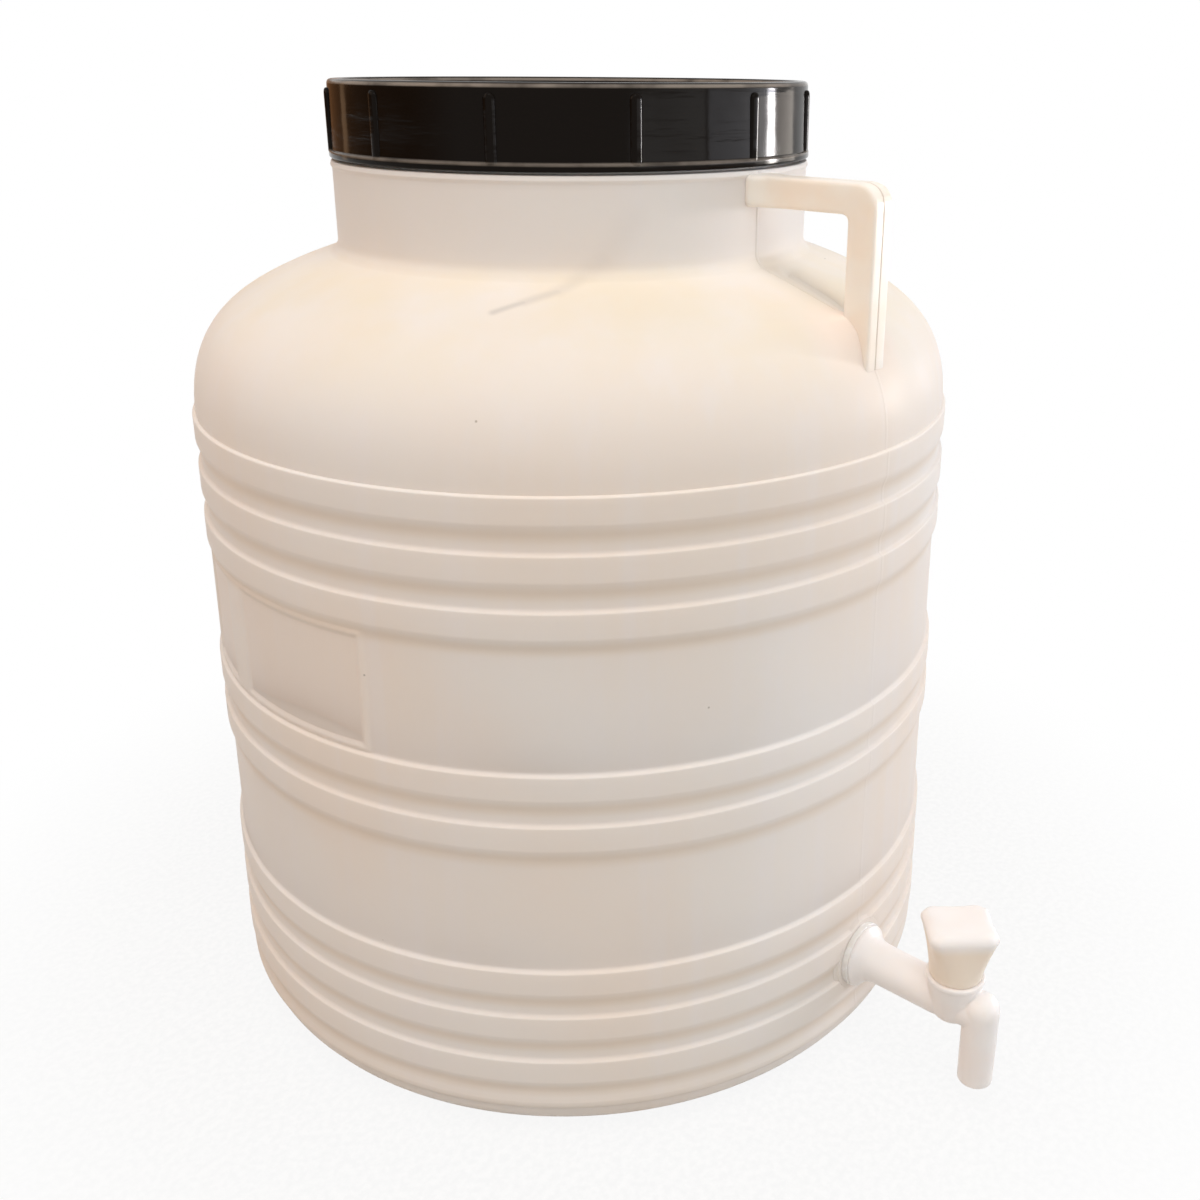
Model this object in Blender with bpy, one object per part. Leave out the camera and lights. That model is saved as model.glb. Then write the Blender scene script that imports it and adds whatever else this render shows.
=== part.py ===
"""Blow-moulded food drum of the 60 litre class, with a screw cap and a draw-off tap.

Metres, +Z up. The origin is on the drum's axis at the level of the standing ring.
The tap points along -Y. The parting plane of the mould is the YZ plane, and both
carrying handles lie in it, one above the tap and one opposite.
"""

import math

import bmesh
import bpy
from mathutils import Matrix, Vector

# Clearances shared by the whole part
TOUCH_GAP = 0.0003
OVERRUN = 0.0200
MERGE_DISTANCE = 0.00001

# Facets of the turned surfaces
DRUM_STEPS = 48
TAP_STEPS = 24
KEY_STEPS = 32
ARC_STEPS = 4
SHOULDER_STEPS = 9
SHOULDER_INNER_STEPS = 6

# Shell of the drum: the crests of the bands narrow slightly from the base upwards
CREST_RADIUS = 0.2140
CREST_TAPER = 0.0022
WALL = 0.0025
BASE_CORNER_RADIUS = 0.0180
STAND_RING_WIDTH = 0.0100
PUSH_UP_HEIGHT = 0.0030
PUSH_UP_RUN = 0.0080
FOOT_LIP_HEIGHT = 0.0225

# Proud bands, in groups counted from the base upwards
LOWEST_BAND_HEIGHT = 0.0358
BAND_CREST_WIDTH = 0.0128
BAND_GAP = 0.0144
BAND_RELIEF = 0.0022
BAND_FLANK = 0.0050
PANEL_HEIGHT = 0.0700
BAND_GROUPS = (3, 2, 3)

# Shoulder, a smooth dome from the top band to the foot of the neck
SHOULDER_STEP = 0.0018
SHOULDER_START = 0.0030
SHOULDER_RISE = 0.0767
SHOULDER_SLOPE = math.radians(17.4)
SHOULDER_PULL_OUT = 0.0498
SHOULDER_PULL_UP = 0.0428

# Neck below the cap and the narrower finish that the cap screws over
NECK_RADIUS = 0.1286
NECK_FOOT_FILLET = 0.0040
NECK_RISE = 0.0475
NECK_BEAD_PROUD = 0.0006
NECK_BEAD_HEIGHT = 0.0030
FINISH_INSET = 0.0052
FINISH_RISE = 0.0332
RIM_CHAMFER = 0.0006

# Carrying handles, solid, moulded with the shell on the parting plane
HANDLE_THICKNESS = 0.0156
HANDLE_ROOT_THICKNESS = 0.0200
HANDLE_ROOT_LENGTH = 0.0120
HANDLE_SET_BACK = 0.0114
HANDLE_BAR_DEPTH = 0.0140
HANDLE_ARM_HEIGHT = 0.0148
HANDLE_TOP_DROP = 0.0020
HANDLE_OUTER_RADIUS = 0.0095
HANDLE_INNER_RADIUS = 0.0035
HANDLE_EDGE_RADIUS = 0.0022

# Two shallow marking fields on the -X side, left bare
FIELD_DEPTH = 0.0012
FIELD_ANGLES = ((math.radians(-75.0), math.radians(-98.5)),
                (math.radians(-104.0), math.radians(-126.0)))
FIELD_EDGE = 0.0070
FIELD_STEPS = 6

# Flat round boss that carries the tap
TAP_HEIGHT = 0.0575
BOSS_RADIUS = 0.0205
BOSS_SET_BACK = 0.0008
BOSS_WALL = 0.0050
BOSS_BACK_MARGIN = 0.0040
TAP_HOLE_CLEARANCE = 0.0004

# Screw cap
CAP_SEAT_GAP = 0.0015
CAP_OVERHANG = 0.0004
CAP_WALL = 0.0022
CAP_BEAD_PROUD = 0.0012
CAP_BEAD_HEIGHT = 0.0042
CAP_PANEL = 0.0022
CAP_RECESS = 0.0030
CAP_RIM_WIDTH = 0.0060
CAP_EDGE_RADIUS = 0.0028
RIB_COUNT = 12
RIB_WIDTH = 0.0052
RIB_PROUD = 0.0011
RIB_TOP_DROP = 0.0042

# Sealing ring under the cap
SEAL_THICKNESS = 0.0016
SEAL_OVERHANG = 0.0020

# Tap: flange, pipe, conical barrel and spout
SPIGOT_RADIUS = 0.0098
SPIGOT_PROUD = 0.0040
WASHER_THICKNESS = 0.0020
WASHER_RADIUS = 0.0165
FLANGE_RADIUS = 0.0172
FLANGE_THICKNESS = 0.0032
PIPE_RADIUS = 0.0112
PIPE_BORE = 0.0062
PIPE_LENGTH = 0.0532
BARREL_TOP_RADIUS = 0.0155
BARREL_RIM_HEIGHT = 0.0030
BARREL_NECK_RADIUS = 0.0146
BARREL_BASE_RADIUS = 0.0108
BARREL_RISE = 0.0178
BARREL_FLOOR = 0.0022
SPOUT_OFFSET = 0.0165
SPOUT_RADIUS = 0.0096
SPOUT_BORE = 0.0070
SPOUT_DROP = 0.0415
SPOUT_DOME_RISE = 0.0030

# Tap key: tapered plug with a cross bore, and a four-lobed knob
PLUG_TOP_RADIUS = 0.0112
PLUG_BASE_RADIUS = 0.0084
PLUG_BORE = 0.0052
PLUG_FLOOR_GAP = 0.0010
KNOB_FOOT_RADIUS = 0.0149
KNOB_RISE = 0.0266
KNOB_LOBE_RADIUS = 0.0206
KNOB_HOLLOW_RADIUS = 0.0164
KNOB_EDGE = 0.0018
KNOB_LOBES = 4
KNOB_LEVELS = 5
KNOB_CURVE = 1.5
LOBE_SHARPNESS = 1.6

# Back nut and inner washer
NUT_FLATS_RADIUS = 0.0160
NUT_THICKNESS = 0.0065
NUT_BORE_CLEARANCE = 0.0003

# Colours: linear red, green, blue
DRUM_COLOUR = (0.80, 0.74, 0.68)
CAP_COLOUR = (0.012, 0.011, 0.011)
SEAL_COLOUR = (0.75, 0.75, 0.72)
TAP_COLOUR = (0.86, 0.80, 0.71)
WASHER_COLOUR = (0.62, 0.60, 0.58)


def clear_scene():
    """Remove every object that the file opened with."""
    for item in list(bpy.data.objects):
        bpy.data.objects.remove(item, do_unlink=True)


def make_material(name, colour, roughness):
    """Return a Principled material of one colour and roughness."""
    material = bpy.data.materials.new(name)
    material.use_nodes = True
    shader = material.node_tree.nodes["Principled BSDF"]
    shader.inputs["Base Color"].default_value = (*colour, 1.0)
    shader.inputs["Roughness"].default_value = roughness
    shader.inputs["Metallic"].default_value = 0.0
    return material


def add_object(name, bm):
    """Close a bmesh into a named object in the scene."""
    bmesh.ops.remove_doubles(bm, verts=bm.verts, dist=MERGE_DISTANCE)
    bmesh.ops.recalc_face_normals(bm, faces=bm.faces)
    mesh = bpy.data.meshes.new(name)
    bm.to_mesh(mesh)
    bm.free()
    item = bpy.data.objects.new(name, mesh)
    bpy.context.scene.collection.objects.link(item)
    return item


def turned(name, profile, steps, closed=False, turn=None):
    """Spin (radius, height) points round Z; an open profile starts and ends on the axis."""
    bm = bmesh.new()
    points = [bm.verts.new((radius, 0.0, height)) for radius, height in profile]
    pairs = list(zip(points, points[1:]))
    if closed:
        pairs.append((points[-1], points[0]))
    edges = [bm.edges.new(pair) for pair in pairs]
    bmesh.ops.spin(bm, geom=points + edges, cent=(0.0, 0.0, 0.0), axis=(0.0, 0.0, 1.0),
                   angle=2.0 * math.pi, steps=steps, use_merge=True)
    item = add_object(name, bm)
    if turn is not None:
        item.data.transform(turn)
    return item


def prism(name, outline, low, high, turn=None):
    """Extrude a flat (x, y) outline from one height to another."""
    bm = bmesh.new()
    face = bm.faces.new([bm.verts.new((x, y, low)) for x, y in outline])
    made = bmesh.ops.extrude_face_region(bm, geom=[face])
    verts = [part for part in made["geom"] if isinstance(part, bmesh.types.BMVert)]
    bmesh.ops.translate(bm, verts=verts, vec=(0.0, 0.0, high - low))
    item = add_object(name, bm)
    if turn is not None:
        item.data.transform(turn)
    return item


def combine(target, tool, operation):
    """Apply one Boolean to the target and drop the tool."""
    modifier = target.modifiers.new("combine", "BOOLEAN")
    modifier.operation = operation
    modifier.solver = "EXACT"
    modifier.object = tool
    graph = bpy.context.evaluated_depsgraph_get()
    mesh = bpy.data.meshes.new_from_object(target.evaluated_get(graph))
    target.modifiers.clear()
    old = target.data
    target.data = mesh
    bpy.data.meshes.remove(old)
    bpy.data.objects.remove(tool, do_unlink=True)


def finish(item, name, material, crease=math.radians(32.0)):
    """Name a finished piece, give it its material and shade its round faces smooth."""
    item.name = name
    item.data.name = name
    item.data.materials.clear()
    item.data.materials.append(material)
    item.data.shade_smooth()
    item.data.set_sharp_from_angle(angle=crease)


def set_origin(item, place):
    """Move an object's origin to a point without moving its surface."""
    item.data.transform(Matrix.Translation(-Vector(place)))
    item.location = place


def arc(centre, radius, start, end, steps):
    """Points on an arc, both ends included."""
    angles = [start + (end - start) * step / steps for step in range(steps + 1)]
    return [(centre[0] + radius * math.cos(a), centre[1] + radius * math.sin(a)) for a in angles]


def bezier(p0, p1, p2, p3, steps):
    """Points on a cubic curve, both ends included."""
    points = []
    for step in range(steps + 1):
        t = step / steps
        weights = ((1 - t) ** 3, 3 * t * (1 - t) ** 2, 3 * t * t * (1 - t), t ** 3)
        points.append(tuple(sum(w * p[axis] for w, p in zip(weights, (p0, p1, p2, p3)))
                            for axis in (0, 1)))
    return points


def band_edges():
    """(low, high) heights of every band, from the base upwards, grouped."""
    groups = []
    low = LOWEST_BAND_HEIGHT
    for count in BAND_GROUPS:
        group = []
        for _ in range(count):
            group.append((low, low + BAND_CREST_WIDTH))
            low += BAND_CREST_WIDTH + BAND_GAP
        groups.append(group)
        low += PANEL_HEIGHT - BAND_GAP
    return groups


BANDS = band_edges()
BANDS_TOP = BANDS[-1][-1][1]
SHOULDER_LOW = BANDS_TOP + SHOULDER_START
SHOULDER_HIGH = SHOULDER_LOW + SHOULDER_RISE
NECK_TOP = SHOULDER_HIGH + NECK_RISE
RIM_HEIGHT = NECK_TOP + FINISH_RISE
FINISH_RADIUS = NECK_RADIUS - FINISH_INSET
CAP_RADIUS = NECK_RADIUS + CAP_OVERHANG
HANDLE_REACH = CREST_RADIUS - CREST_TAPER - HANDLE_SET_BACK


def crest_radius(height):
    """Radius of the band crests at a height."""
    share = (height - LOWEST_BAND_HEIGHT) / (BANDS_TOP - LOWEST_BAND_HEIGHT)
    return CREST_RADIUS - CREST_TAPER * share


def shoulder_points(inset, steps):
    """The dome from its top at the neck foot down to the top band, moved inwards by inset."""
    top = (NECK_RADIUS + NECK_FOOT_FILLET, SHOULDER_HIGH)
    low = (crest_radius(SHOULDER_LOW) - SHOULDER_STEP, SHOULDER_LOW)
    out = (top[0] + SHOULDER_PULL_OUT, top[1] - SHOULDER_PULL_OUT * math.tan(SHOULDER_SLOPE))
    up = (low[0], low[1] + SHOULDER_PULL_UP)
    curve = bezier(top, out, up, low, steps)
    if inset == 0.0:
        return curve
    moved = []
    for index, point in enumerate(curve):
        before = curve[max(index - 1, 0)]
        after = curve[min(index + 1, len(curve) - 1)]
        along = (after[0] - before[0], after[1] - before[1])
        size = math.hypot(*along)
        moved.append((point[0] + inset * along[1] / size, point[1] - inset * along[0] / size))
    return moved


def shoulder_height(radius):
    """Height of the outer dome at a radius."""
    curve = shoulder_points(0.0, SHOULDER_STEPS)
    for (r0, z0), (r1, z1) in zip(curve, curve[1:]):
        if r0 <= radius <= r1:
            return z0 + (z1 - z0) * (radius - r0) / (r1 - r0)
    return curve[-1][1]


def body_points():
    """Outer surface from the top band down to the foot lip: crests, grooves and panels."""
    points = []
    for group in reversed(BANDS):
        for low, high in reversed(group):
            crest = crest_radius(high)
            points.append((crest - BAND_RELIEF, high + BAND_FLANK / 2))
            points.append((crest, high))
            points.append((crest_radius(low), low))
            points.append((crest_radius(low) - BAND_RELIEF, low - BAND_FLANK))
    return points


def cavity_points():
    """Inner surface beside the bands, following each crest and groove at one wall."""
    points = []
    for group in reversed(BANDS):
        top = group[-1][1] + BAND_FLANK / 2
        foot = group[0][0] - BAND_FLANK
        points.append((crest_radius(top) - WALL - BAND_RELIEF, top))
        for low, high in reversed(group):
            points.append((crest_radius(high) - WALL, high - BAND_FLANK / 2))
            points.append((crest_radius(low) - WALL, low + BAND_FLANK / 2))
            if low > group[0][0]:
                groove = low - BAND_GAP / 2
                points.append((crest_radius(groove) - WALL - BAND_RELIEF, groove))
        points.append((crest_radius(foot) - WALL - BAND_RELIEF, foot))
    return points


def outer_profile():
    """Whole outside of the drum from the axis over the rim down to the axis again."""
    foot = crest_radius(0.0) - BAND_RELIEF / 2
    ring_out = foot - BASE_CORNER_RADIUS
    ring_in = ring_out - STAND_RING_WIDTH
    profile = [(0.0, RIM_HEIGHT), (FINISH_RADIUS - RIM_CHAMFER, RIM_HEIGHT),
               (FINISH_RADIUS, RIM_HEIGHT - RIM_CHAMFER), (FINISH_RADIUS, NECK_TOP),
               (NECK_RADIUS, NECK_TOP),
               (NECK_RADIUS + NECK_BEAD_PROUD, NECK_TOP - NECK_BEAD_HEIGHT / 2),
               (NECK_RADIUS, NECK_TOP - NECK_BEAD_HEIGHT)]
    centre = (NECK_RADIUS + NECK_FOOT_FILLET, SHOULDER_HIGH + NECK_FOOT_FILLET)
    profile += arc(centre, NECK_FOOT_FILLET, math.pi, 1.5 * math.pi, ARC_STEPS - 2)[:-1]
    profile += shoulder_points(0.0, SHOULDER_STEPS)
    profile += body_points()
    profile.append((foot, FOOT_LIP_HEIGHT))
    profile += arc((ring_out, BASE_CORNER_RADIUS), BASE_CORNER_RADIUS, 0.0, -0.5 * math.pi,
                   ARC_STEPS)
    profile += [(ring_in, 0.0), (ring_in - PUSH_UP_RUN, PUSH_UP_HEIGHT), (0.0, PUSH_UP_HEIGHT)]
    return profile


def inner_profile():
    """Hollow of the drum, open through the mouth."""
    foot = crest_radius(0.0) - BAND_RELIEF / 2
    ring_out = foot - BASE_CORNER_RADIUS
    ring_in = ring_out - STAND_RING_WIDTH
    mouth = FINISH_RADIUS - WALL
    profile = [(0.0, RIM_HEIGHT + OVERRUN), (mouth, RIM_HEIGHT + OVERRUN),
               (mouth, NECK_TOP - WALL), (NECK_RADIUS - WALL, NECK_TOP - WALL - FINISH_INSET),
               (NECK_RADIUS - WALL, SHOULDER_HIGH)]
    profile += shoulder_points(WALL, SHOULDER_INNER_STEPS)[1:]
    profile += cavity_points()
    profile += arc((ring_out, BASE_CORNER_RADIUS), BASE_CORNER_RADIUS - WALL, 0.0,
                   -0.5 * math.pi, ARC_STEPS)
    profile += [(ring_in, WALL), (ring_in - PUSH_UP_RUN, PUSH_UP_HEIGHT + WALL),
                (0.0, PUSH_UP_HEIGHT + WALL)]
    return profile


def towards(direction):
    """Turn that lays a shape built along Z down along the Y axis, outwards to one side."""
    return Matrix.Rotation(-direction * math.pi / 2, 4, "X")


def handle_outline():
    """Side view of one handle as (distance from the axis, height) points."""
    top = NECK_TOP - HANDLE_TOP_DROP
    under = top - HANDLE_ARM_HEIGHT
    inner = HANDLE_REACH - HANDLE_BAR_DEPTH
    foot = shoulder_height(HANDLE_REACH) - 2 * WALL
    root = NECK_RADIUS - OVERRUN
    corner = (HANDLE_REACH - HANDLE_OUTER_RADIUS, top - HANDLE_OUTER_RADIUS)
    pocket = (inner - HANDLE_INNER_RADIUS, under - HANDLE_INNER_RADIUS)
    outline = [(root, top)]
    outline += arc(corner, HANDLE_OUTER_RADIUS, math.pi / 2, 0.0, ARC_STEPS)
    outline += [(HANDLE_REACH, foot), (inner, foot)]
    outline += arc(pocket, HANDLE_INNER_RADIUS, 0.0, math.pi / 2, ARC_STEPS - 1)
    outline.append((root, under))
    return outline


def make_handle(direction):
    """One solid handle on the +Y or -Y side, its long edges rounded."""
    stand = Matrix.Rotation(math.pi / 2, 4, "Z") @ Matrix.Rotation(math.pi / 2, 4, "X")
    half = HANDLE_THICKNESS / 2
    item = prism("handle", handle_outline(), -half, half, stand)
    modifier = item.modifiers.new("edges", "BEVEL")
    modifier.width = HANDLE_EDGE_RADIUS
    modifier.segments = 2
    modifier.limit_method = "ANGLE"
    modifier.angle_limit = math.radians(60.0)
    graph = bpy.context.evaluated_depsgraph_get()
    item.data = bpy.data.meshes.new_from_object(item.evaluated_get(graph))
    item.modifiers.clear()
    if direction < 0:
        item.data.transform(Matrix.Rotation(math.pi, 4, "Z"))
    return item


def make_handle_root(direction):
    """Thicker block where the arm grows out of the neck."""
    top = NECK_TOP - HANDLE_TOP_DROP - HANDLE_EDGE_RADIUS / 2
    under = top - HANDLE_ARM_HEIGHT + HANDLE_EDGE_RADIUS
    half = HANDLE_ROOT_THICKNESS / 2
    tip = HANDLE_THICKNESS / 2 - HANDLE_EDGE_RADIUS
    inner = NECK_RADIUS - OVERRUN
    outer = NECK_RADIUS + HANDLE_ROOT_LENGTH
    outline = [(-half, inner), (half, inner), (half, NECK_RADIUS), (tip, outer), (-tip, outer),
               (-half, NECK_RADIUS)]
    turn = Matrix.Rotation(0.0 if direction > 0 else math.pi, 4, "Z")
    return prism("root", outline, under, top, turn)


def field_solid(angles, inner, outer, low, high):
    """Curved slab between two radii, two angles and two heights."""
    start, end = angles
    steps = [start + (end - start) * step / FIELD_STEPS for step in range(FIELD_STEPS + 1)]
    rim = [(outer * math.sin(a), -outer * math.cos(a)) for a in steps]
    back = [(inner * math.sin(a), -inner * math.cos(a)) for a in reversed(steps)]
    return prism("field", rim + back, low, high)


def boss_face():
    """Distance of the boss face from the drum's axis."""
    return crest_radius(TAP_HEIGHT) - BOSS_SET_BACK


def make_drum(material):
    """Shell, bands, shoulder, neck, handles and tap boss as one moulding."""
    shell = turned("shell", outer_profile(), DRUM_STEPS)
    hollow = turned("hollow", inner_profile(), DRUM_STEPS)
    lift = Matrix.Translation((0.0, 0.0, TAP_HEIGHT))
    boss_low = boss_face() - BOSS_WALL / 2
    boss = turned("boss", [(0.0, boss_low), (BOSS_RADIUS, boss_low), (BOSS_RADIUS, boss_face()),
                           (0.0, boss_face())], DRUM_STEPS // 2, turn=lift @ towards(-1))
    back_radius = BOSS_RADIUS + BOSS_BACK_MARGIN
    back_low = boss_face() - BOSS_WALL
    back = turned("back", [(0.0, back_low), (back_radius, back_low),
                           (back_radius, boss_face() + OVERRUN), (0.0, boss_face() + OVERRUN)],
                  DRUM_STEPS // 2, turn=lift @ towards(-1))
    combine(hollow, back, "DIFFERENCE")
    panel_low = BANDS[1][-1][1] + FIELD_EDGE
    panel_high = BANDS[2][0][0] - FIELD_EDGE - BAND_FLANK
    panel = crest_radius((panel_low + panel_high) / 2) - BAND_RELIEF
    margin = WALL / panel
    for start, end in FIELD_ANGLES:
        wide = (start + margin, end - margin)
        guard = field_solid(wide, panel - FIELD_DEPTH - WALL, panel + OVERRUN,
                            panel_low - WALL, panel_high + WALL)
        combine(hollow, guard, "DIFFERENCE")
        cut = field_solid((start, end), panel - FIELD_DEPTH, panel + OVERRUN,
                          panel_low, panel_high)
        combine(shell, cut, "DIFFERENCE")
    level = turned("level", [(0.0, boss_face()), (BOSS_RADIUS, boss_face()),
                             (BOSS_RADIUS, boss_face() + OVERRUN), (0.0, boss_face() + OVERRUN)],
                   DRUM_STEPS // 2, turn=lift @ towards(-1))
    combine(shell, level, "DIFFERENCE")
    combine(shell, boss, "UNION")
    for direction in (-1, 1):
        combine(shell, make_handle(direction), "UNION")
        combine(shell, make_handle_root(direction), "UNION")
    combine(shell, hollow, "DIFFERENCE")
    hole_radius = SPIGOT_RADIUS + TAP_HOLE_CLEARANCE
    hole = turned("hole", [(0.0, back_low - OVERRUN), (hole_radius, back_low - OVERRUN),
                           (hole_radius, boss_face() + OVERRUN), (0.0, boss_face() + OVERRUN)],
                  TAP_STEPS, turn=lift @ towards(-1))
    combine(shell, hole, "DIFFERENCE")
    finish(shell, "drum_body", material)
    return shell


def cap_levels():
    """Heights of the cap: skirt foot, ceiling, panel and top."""
    foot = NECK_TOP + CAP_SEAT_GAP
    ceiling = RIM_HEIGHT + TOUCH_GAP + SEAL_THICKNESS + TOUCH_GAP
    return foot, ceiling, ceiling + CAP_PANEL, ceiling + CAP_PANEL + CAP_RECESS


def make_cap(material):
    """Screw cap: ribbed skirt over a foot bead, raised rim round a sunk top panel."""
    foot, ceiling, panel, top = cap_levels()
    inside = CAP_RADIUS - CAP_WALL
    bead = CAP_RADIUS + CAP_BEAD_PROUD
    rim_in = CAP_RADIUS - CAP_RIM_WIDTH
    edge = CAP_EDGE_RADIUS
    profile = [(0.0, panel), (rim_in - CAP_RECESS / 2, panel), (rim_in, top - edge / 2),
               (rim_in + edge / 2, top)]
    profile += arc((CAP_RADIUS - edge, top - edge), edge, math.pi / 2, 0.0, ARC_STEPS - 1)
    profile += [(CAP_RADIUS, foot + CAP_BEAD_HEIGHT),
                (bead, foot + CAP_BEAD_HEIGHT - CAP_BEAD_PROUD), (bead, foot + CAP_BEAD_PROUD),
                (bead - CAP_BEAD_PROUD, foot), (inside, foot), (inside, ceiling), (0.0, ceiling)]
    cap = turned("cap", profile, DRUM_STEPS)
    rib_top = top - RIB_TOP_DROP
    rib_foot = foot + CAP_BEAD_HEIGHT - CAP_BEAD_PROUD
    half = RIB_WIDTH / 2
    front = CAP_RADIUS + RIB_PROUD
    back = CAP_RADIUS - CAP_WALL / 2
    outline = [(-half, rib_foot), (half, rib_foot)]
    outline += arc((0.0, rib_top - half), half, 0.0, math.pi, ARC_STEPS)
    stand = Matrix.Rotation(math.pi / 2, 4, "X")
    for index in range(RIB_COUNT):
        spin = Matrix.Rotation(2 * math.pi * index / RIB_COUNT, 4, "Z")
        rib = prism("rib", outline, back, front, spin @ stand)
        combine(cap, rib, "UNION")
    finish(cap, "lid_cap", material)
    return cap


def make_ring(name, inner, outer, low, high, steps, material, turn=None):
    """Plain flat ring."""
    ring = turned(name, [(inner, high), (outer, high), (outer, low), (inner, low)], steps,
                  closed=True, turn=turn)
    finish(ring, name, material)
    return ring


def tap_places():
    """Distances from the drum's axis: flange seat, valve axis and spout axis."""
    seat = boss_face() + TOUCH_GAP + WASHER_THICKNESS + TOUCH_GAP
    valve = seat + FLANGE_THICKNESS + PIPE_LENGTH
    return seat, valve, valve + SPOUT_OFFSET


def plug_levels():
    """Heights of the plug: its base, the barrel's mouth and the knob's foot."""
    base = TAP_HEIGHT - PIPE_RADIUS + BARREL_FLOOR + PLUG_FLOOR_GAP
    mouth = TAP_HEIGHT + BARREL_RISE
    return base, mouth, mouth + TOUCH_GAP


def plug_radius(height):
    """Radius of the tapered plug at a height."""
    base, mouth, _ = plug_levels()
    return PLUG_BASE_RADIUS + (PLUG_TOP_RADIUS - PLUG_BASE_RADIUS) * (height - base) / (mouth - base)


def make_tap_body(material):
    """Flange, threaded spigot, pipe, conical barrel and spout as one moulding."""
    seat, valve, spout = tap_places()
    lay = Matrix.Translation((0.0, 0.0, TAP_HEIGHT)) @ towards(-1)
    washer = TOUCH_GAP + WASHER_THICKNESS + TOUCH_GAP
    spigot_end = (boss_face() - BOSS_WALL - washer - NUT_THICKNESS - SPIGOT_PROUD)
    flange = seat + FLANGE_THICKNESS
    profile = [(0.0, spigot_end), (SPIGOT_RADIUS, spigot_end), (SPIGOT_RADIUS, seat),
               (FLANGE_RADIUS, seat), (FLANGE_RADIUS, flange - FLANGE_THICKNESS / 4),
               (FLANGE_RADIUS - FLANGE_THICKNESS / 4, flange), (PIPE_RADIUS, flange),
               (PIPE_RADIUS, valve), (0.0, valve)]
    tap = turned("tap", profile, TAP_STEPS, turn=lay)
    base = TAP_HEIGHT - PIPE_RADIUS
    mouth = TAP_HEIGHT + BARREL_RISE
    shelf = mouth - BARREL_RIM_HEIGHT
    at_valve = Matrix.Translation((0.0, -valve, 0.0))
    at_spout = Matrix.Translation((0.0, -spout, 0.0))
    barrel = turned("barrel", [(0.0, base), (BARREL_BASE_RADIUS, base),
                               (BARREL_NECK_RADIUS, shelf), (BARREL_TOP_RADIUS, shelf),
                               (BARREL_TOP_RADIUS, mouth), (0.0, mouth)],
                    TAP_STEPS, turn=at_valve)
    dome = TAP_HEIGHT + SPOUT_DOME_RISE
    spout_end = TAP_HEIGHT - SPOUT_DROP
    tube = turned("tube", [(0.0, spout_end), (SPOUT_RADIUS, spout_end)]
                  + arc((0.0, dome), SPOUT_RADIUS, 0.0, math.pi / 2, ARC_STEPS)[:-1]
                  + [(0.0, dome + SPOUT_RADIUS)], TAP_STEPS, turn=at_spout)
    bridge = turned("bridge", [(0.0, valve), (SPOUT_RADIUS, valve), (SPOUT_RADIUS, spout),
                               (0.0, spout)], TAP_STEPS, turn=lay)
    combine(tap, barrel, "UNION")
    combine(tap, tube, "UNION")
    combine(tap, bridge, "UNION")
    plug_base, _, _ = plug_levels()
    low = plug_base - PLUG_FLOOR_GAP
    socket = turned("socket", [(0.0, low), (plug_radius(low) + TOUCH_GAP, low),
                               (plug_radius(mouth + OVERRUN) + TOUCH_GAP, mouth + OVERRUN),
                               (0.0, mouth + OVERRUN)], TAP_STEPS, turn=at_valve)
    bore = turned("bore", [(0.0, spigot_end - OVERRUN), (PIPE_BORE, spigot_end - OVERRUN),
                           (PIPE_BORE, valve), (0.0, valve)], TAP_STEPS, turn=lay)
    outlet = turned("outlet", [(0.0, valve), (PLUG_BORE, valve), (PLUG_BORE, spout),
                               (0.0, spout)], TAP_STEPS, turn=lay)
    down = turned("down", [(0.0, spout_end - OVERRUN), (SPOUT_BORE, spout_end - OVERRUN),
                           (SPOUT_BORE, TAP_HEIGHT),
                           (SPOUT_BORE - SPOUT_DOME_RISE, dome + PLUG_BORE / 2),
                           (0.0, dome + PLUG_BORE / 2)], TAP_STEPS, turn=at_spout)
    for tool in (socket, bore, outlet, down):
        combine(tap, tool, "DIFFERENCE")
    finish(tap, "tap_body", material)
    return tap


def knob_radius(share, angle):
    """Radius of the lobed knob: a round foot that swells into four lobes at the top."""
    swell = share ** KNOB_CURVE
    lobe = ((1 + math.cos(KNOB_LOBES * angle)) / 2) ** LOBE_SHARPNESS
    top = KNOB_HOLLOW_RADIUS + (KNOB_LOBE_RADIUS - KNOB_HOLLOW_RADIUS) * lobe
    return KNOB_FOOT_RADIUS + (top - KNOB_FOOT_RADIUS) * swell


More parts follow.
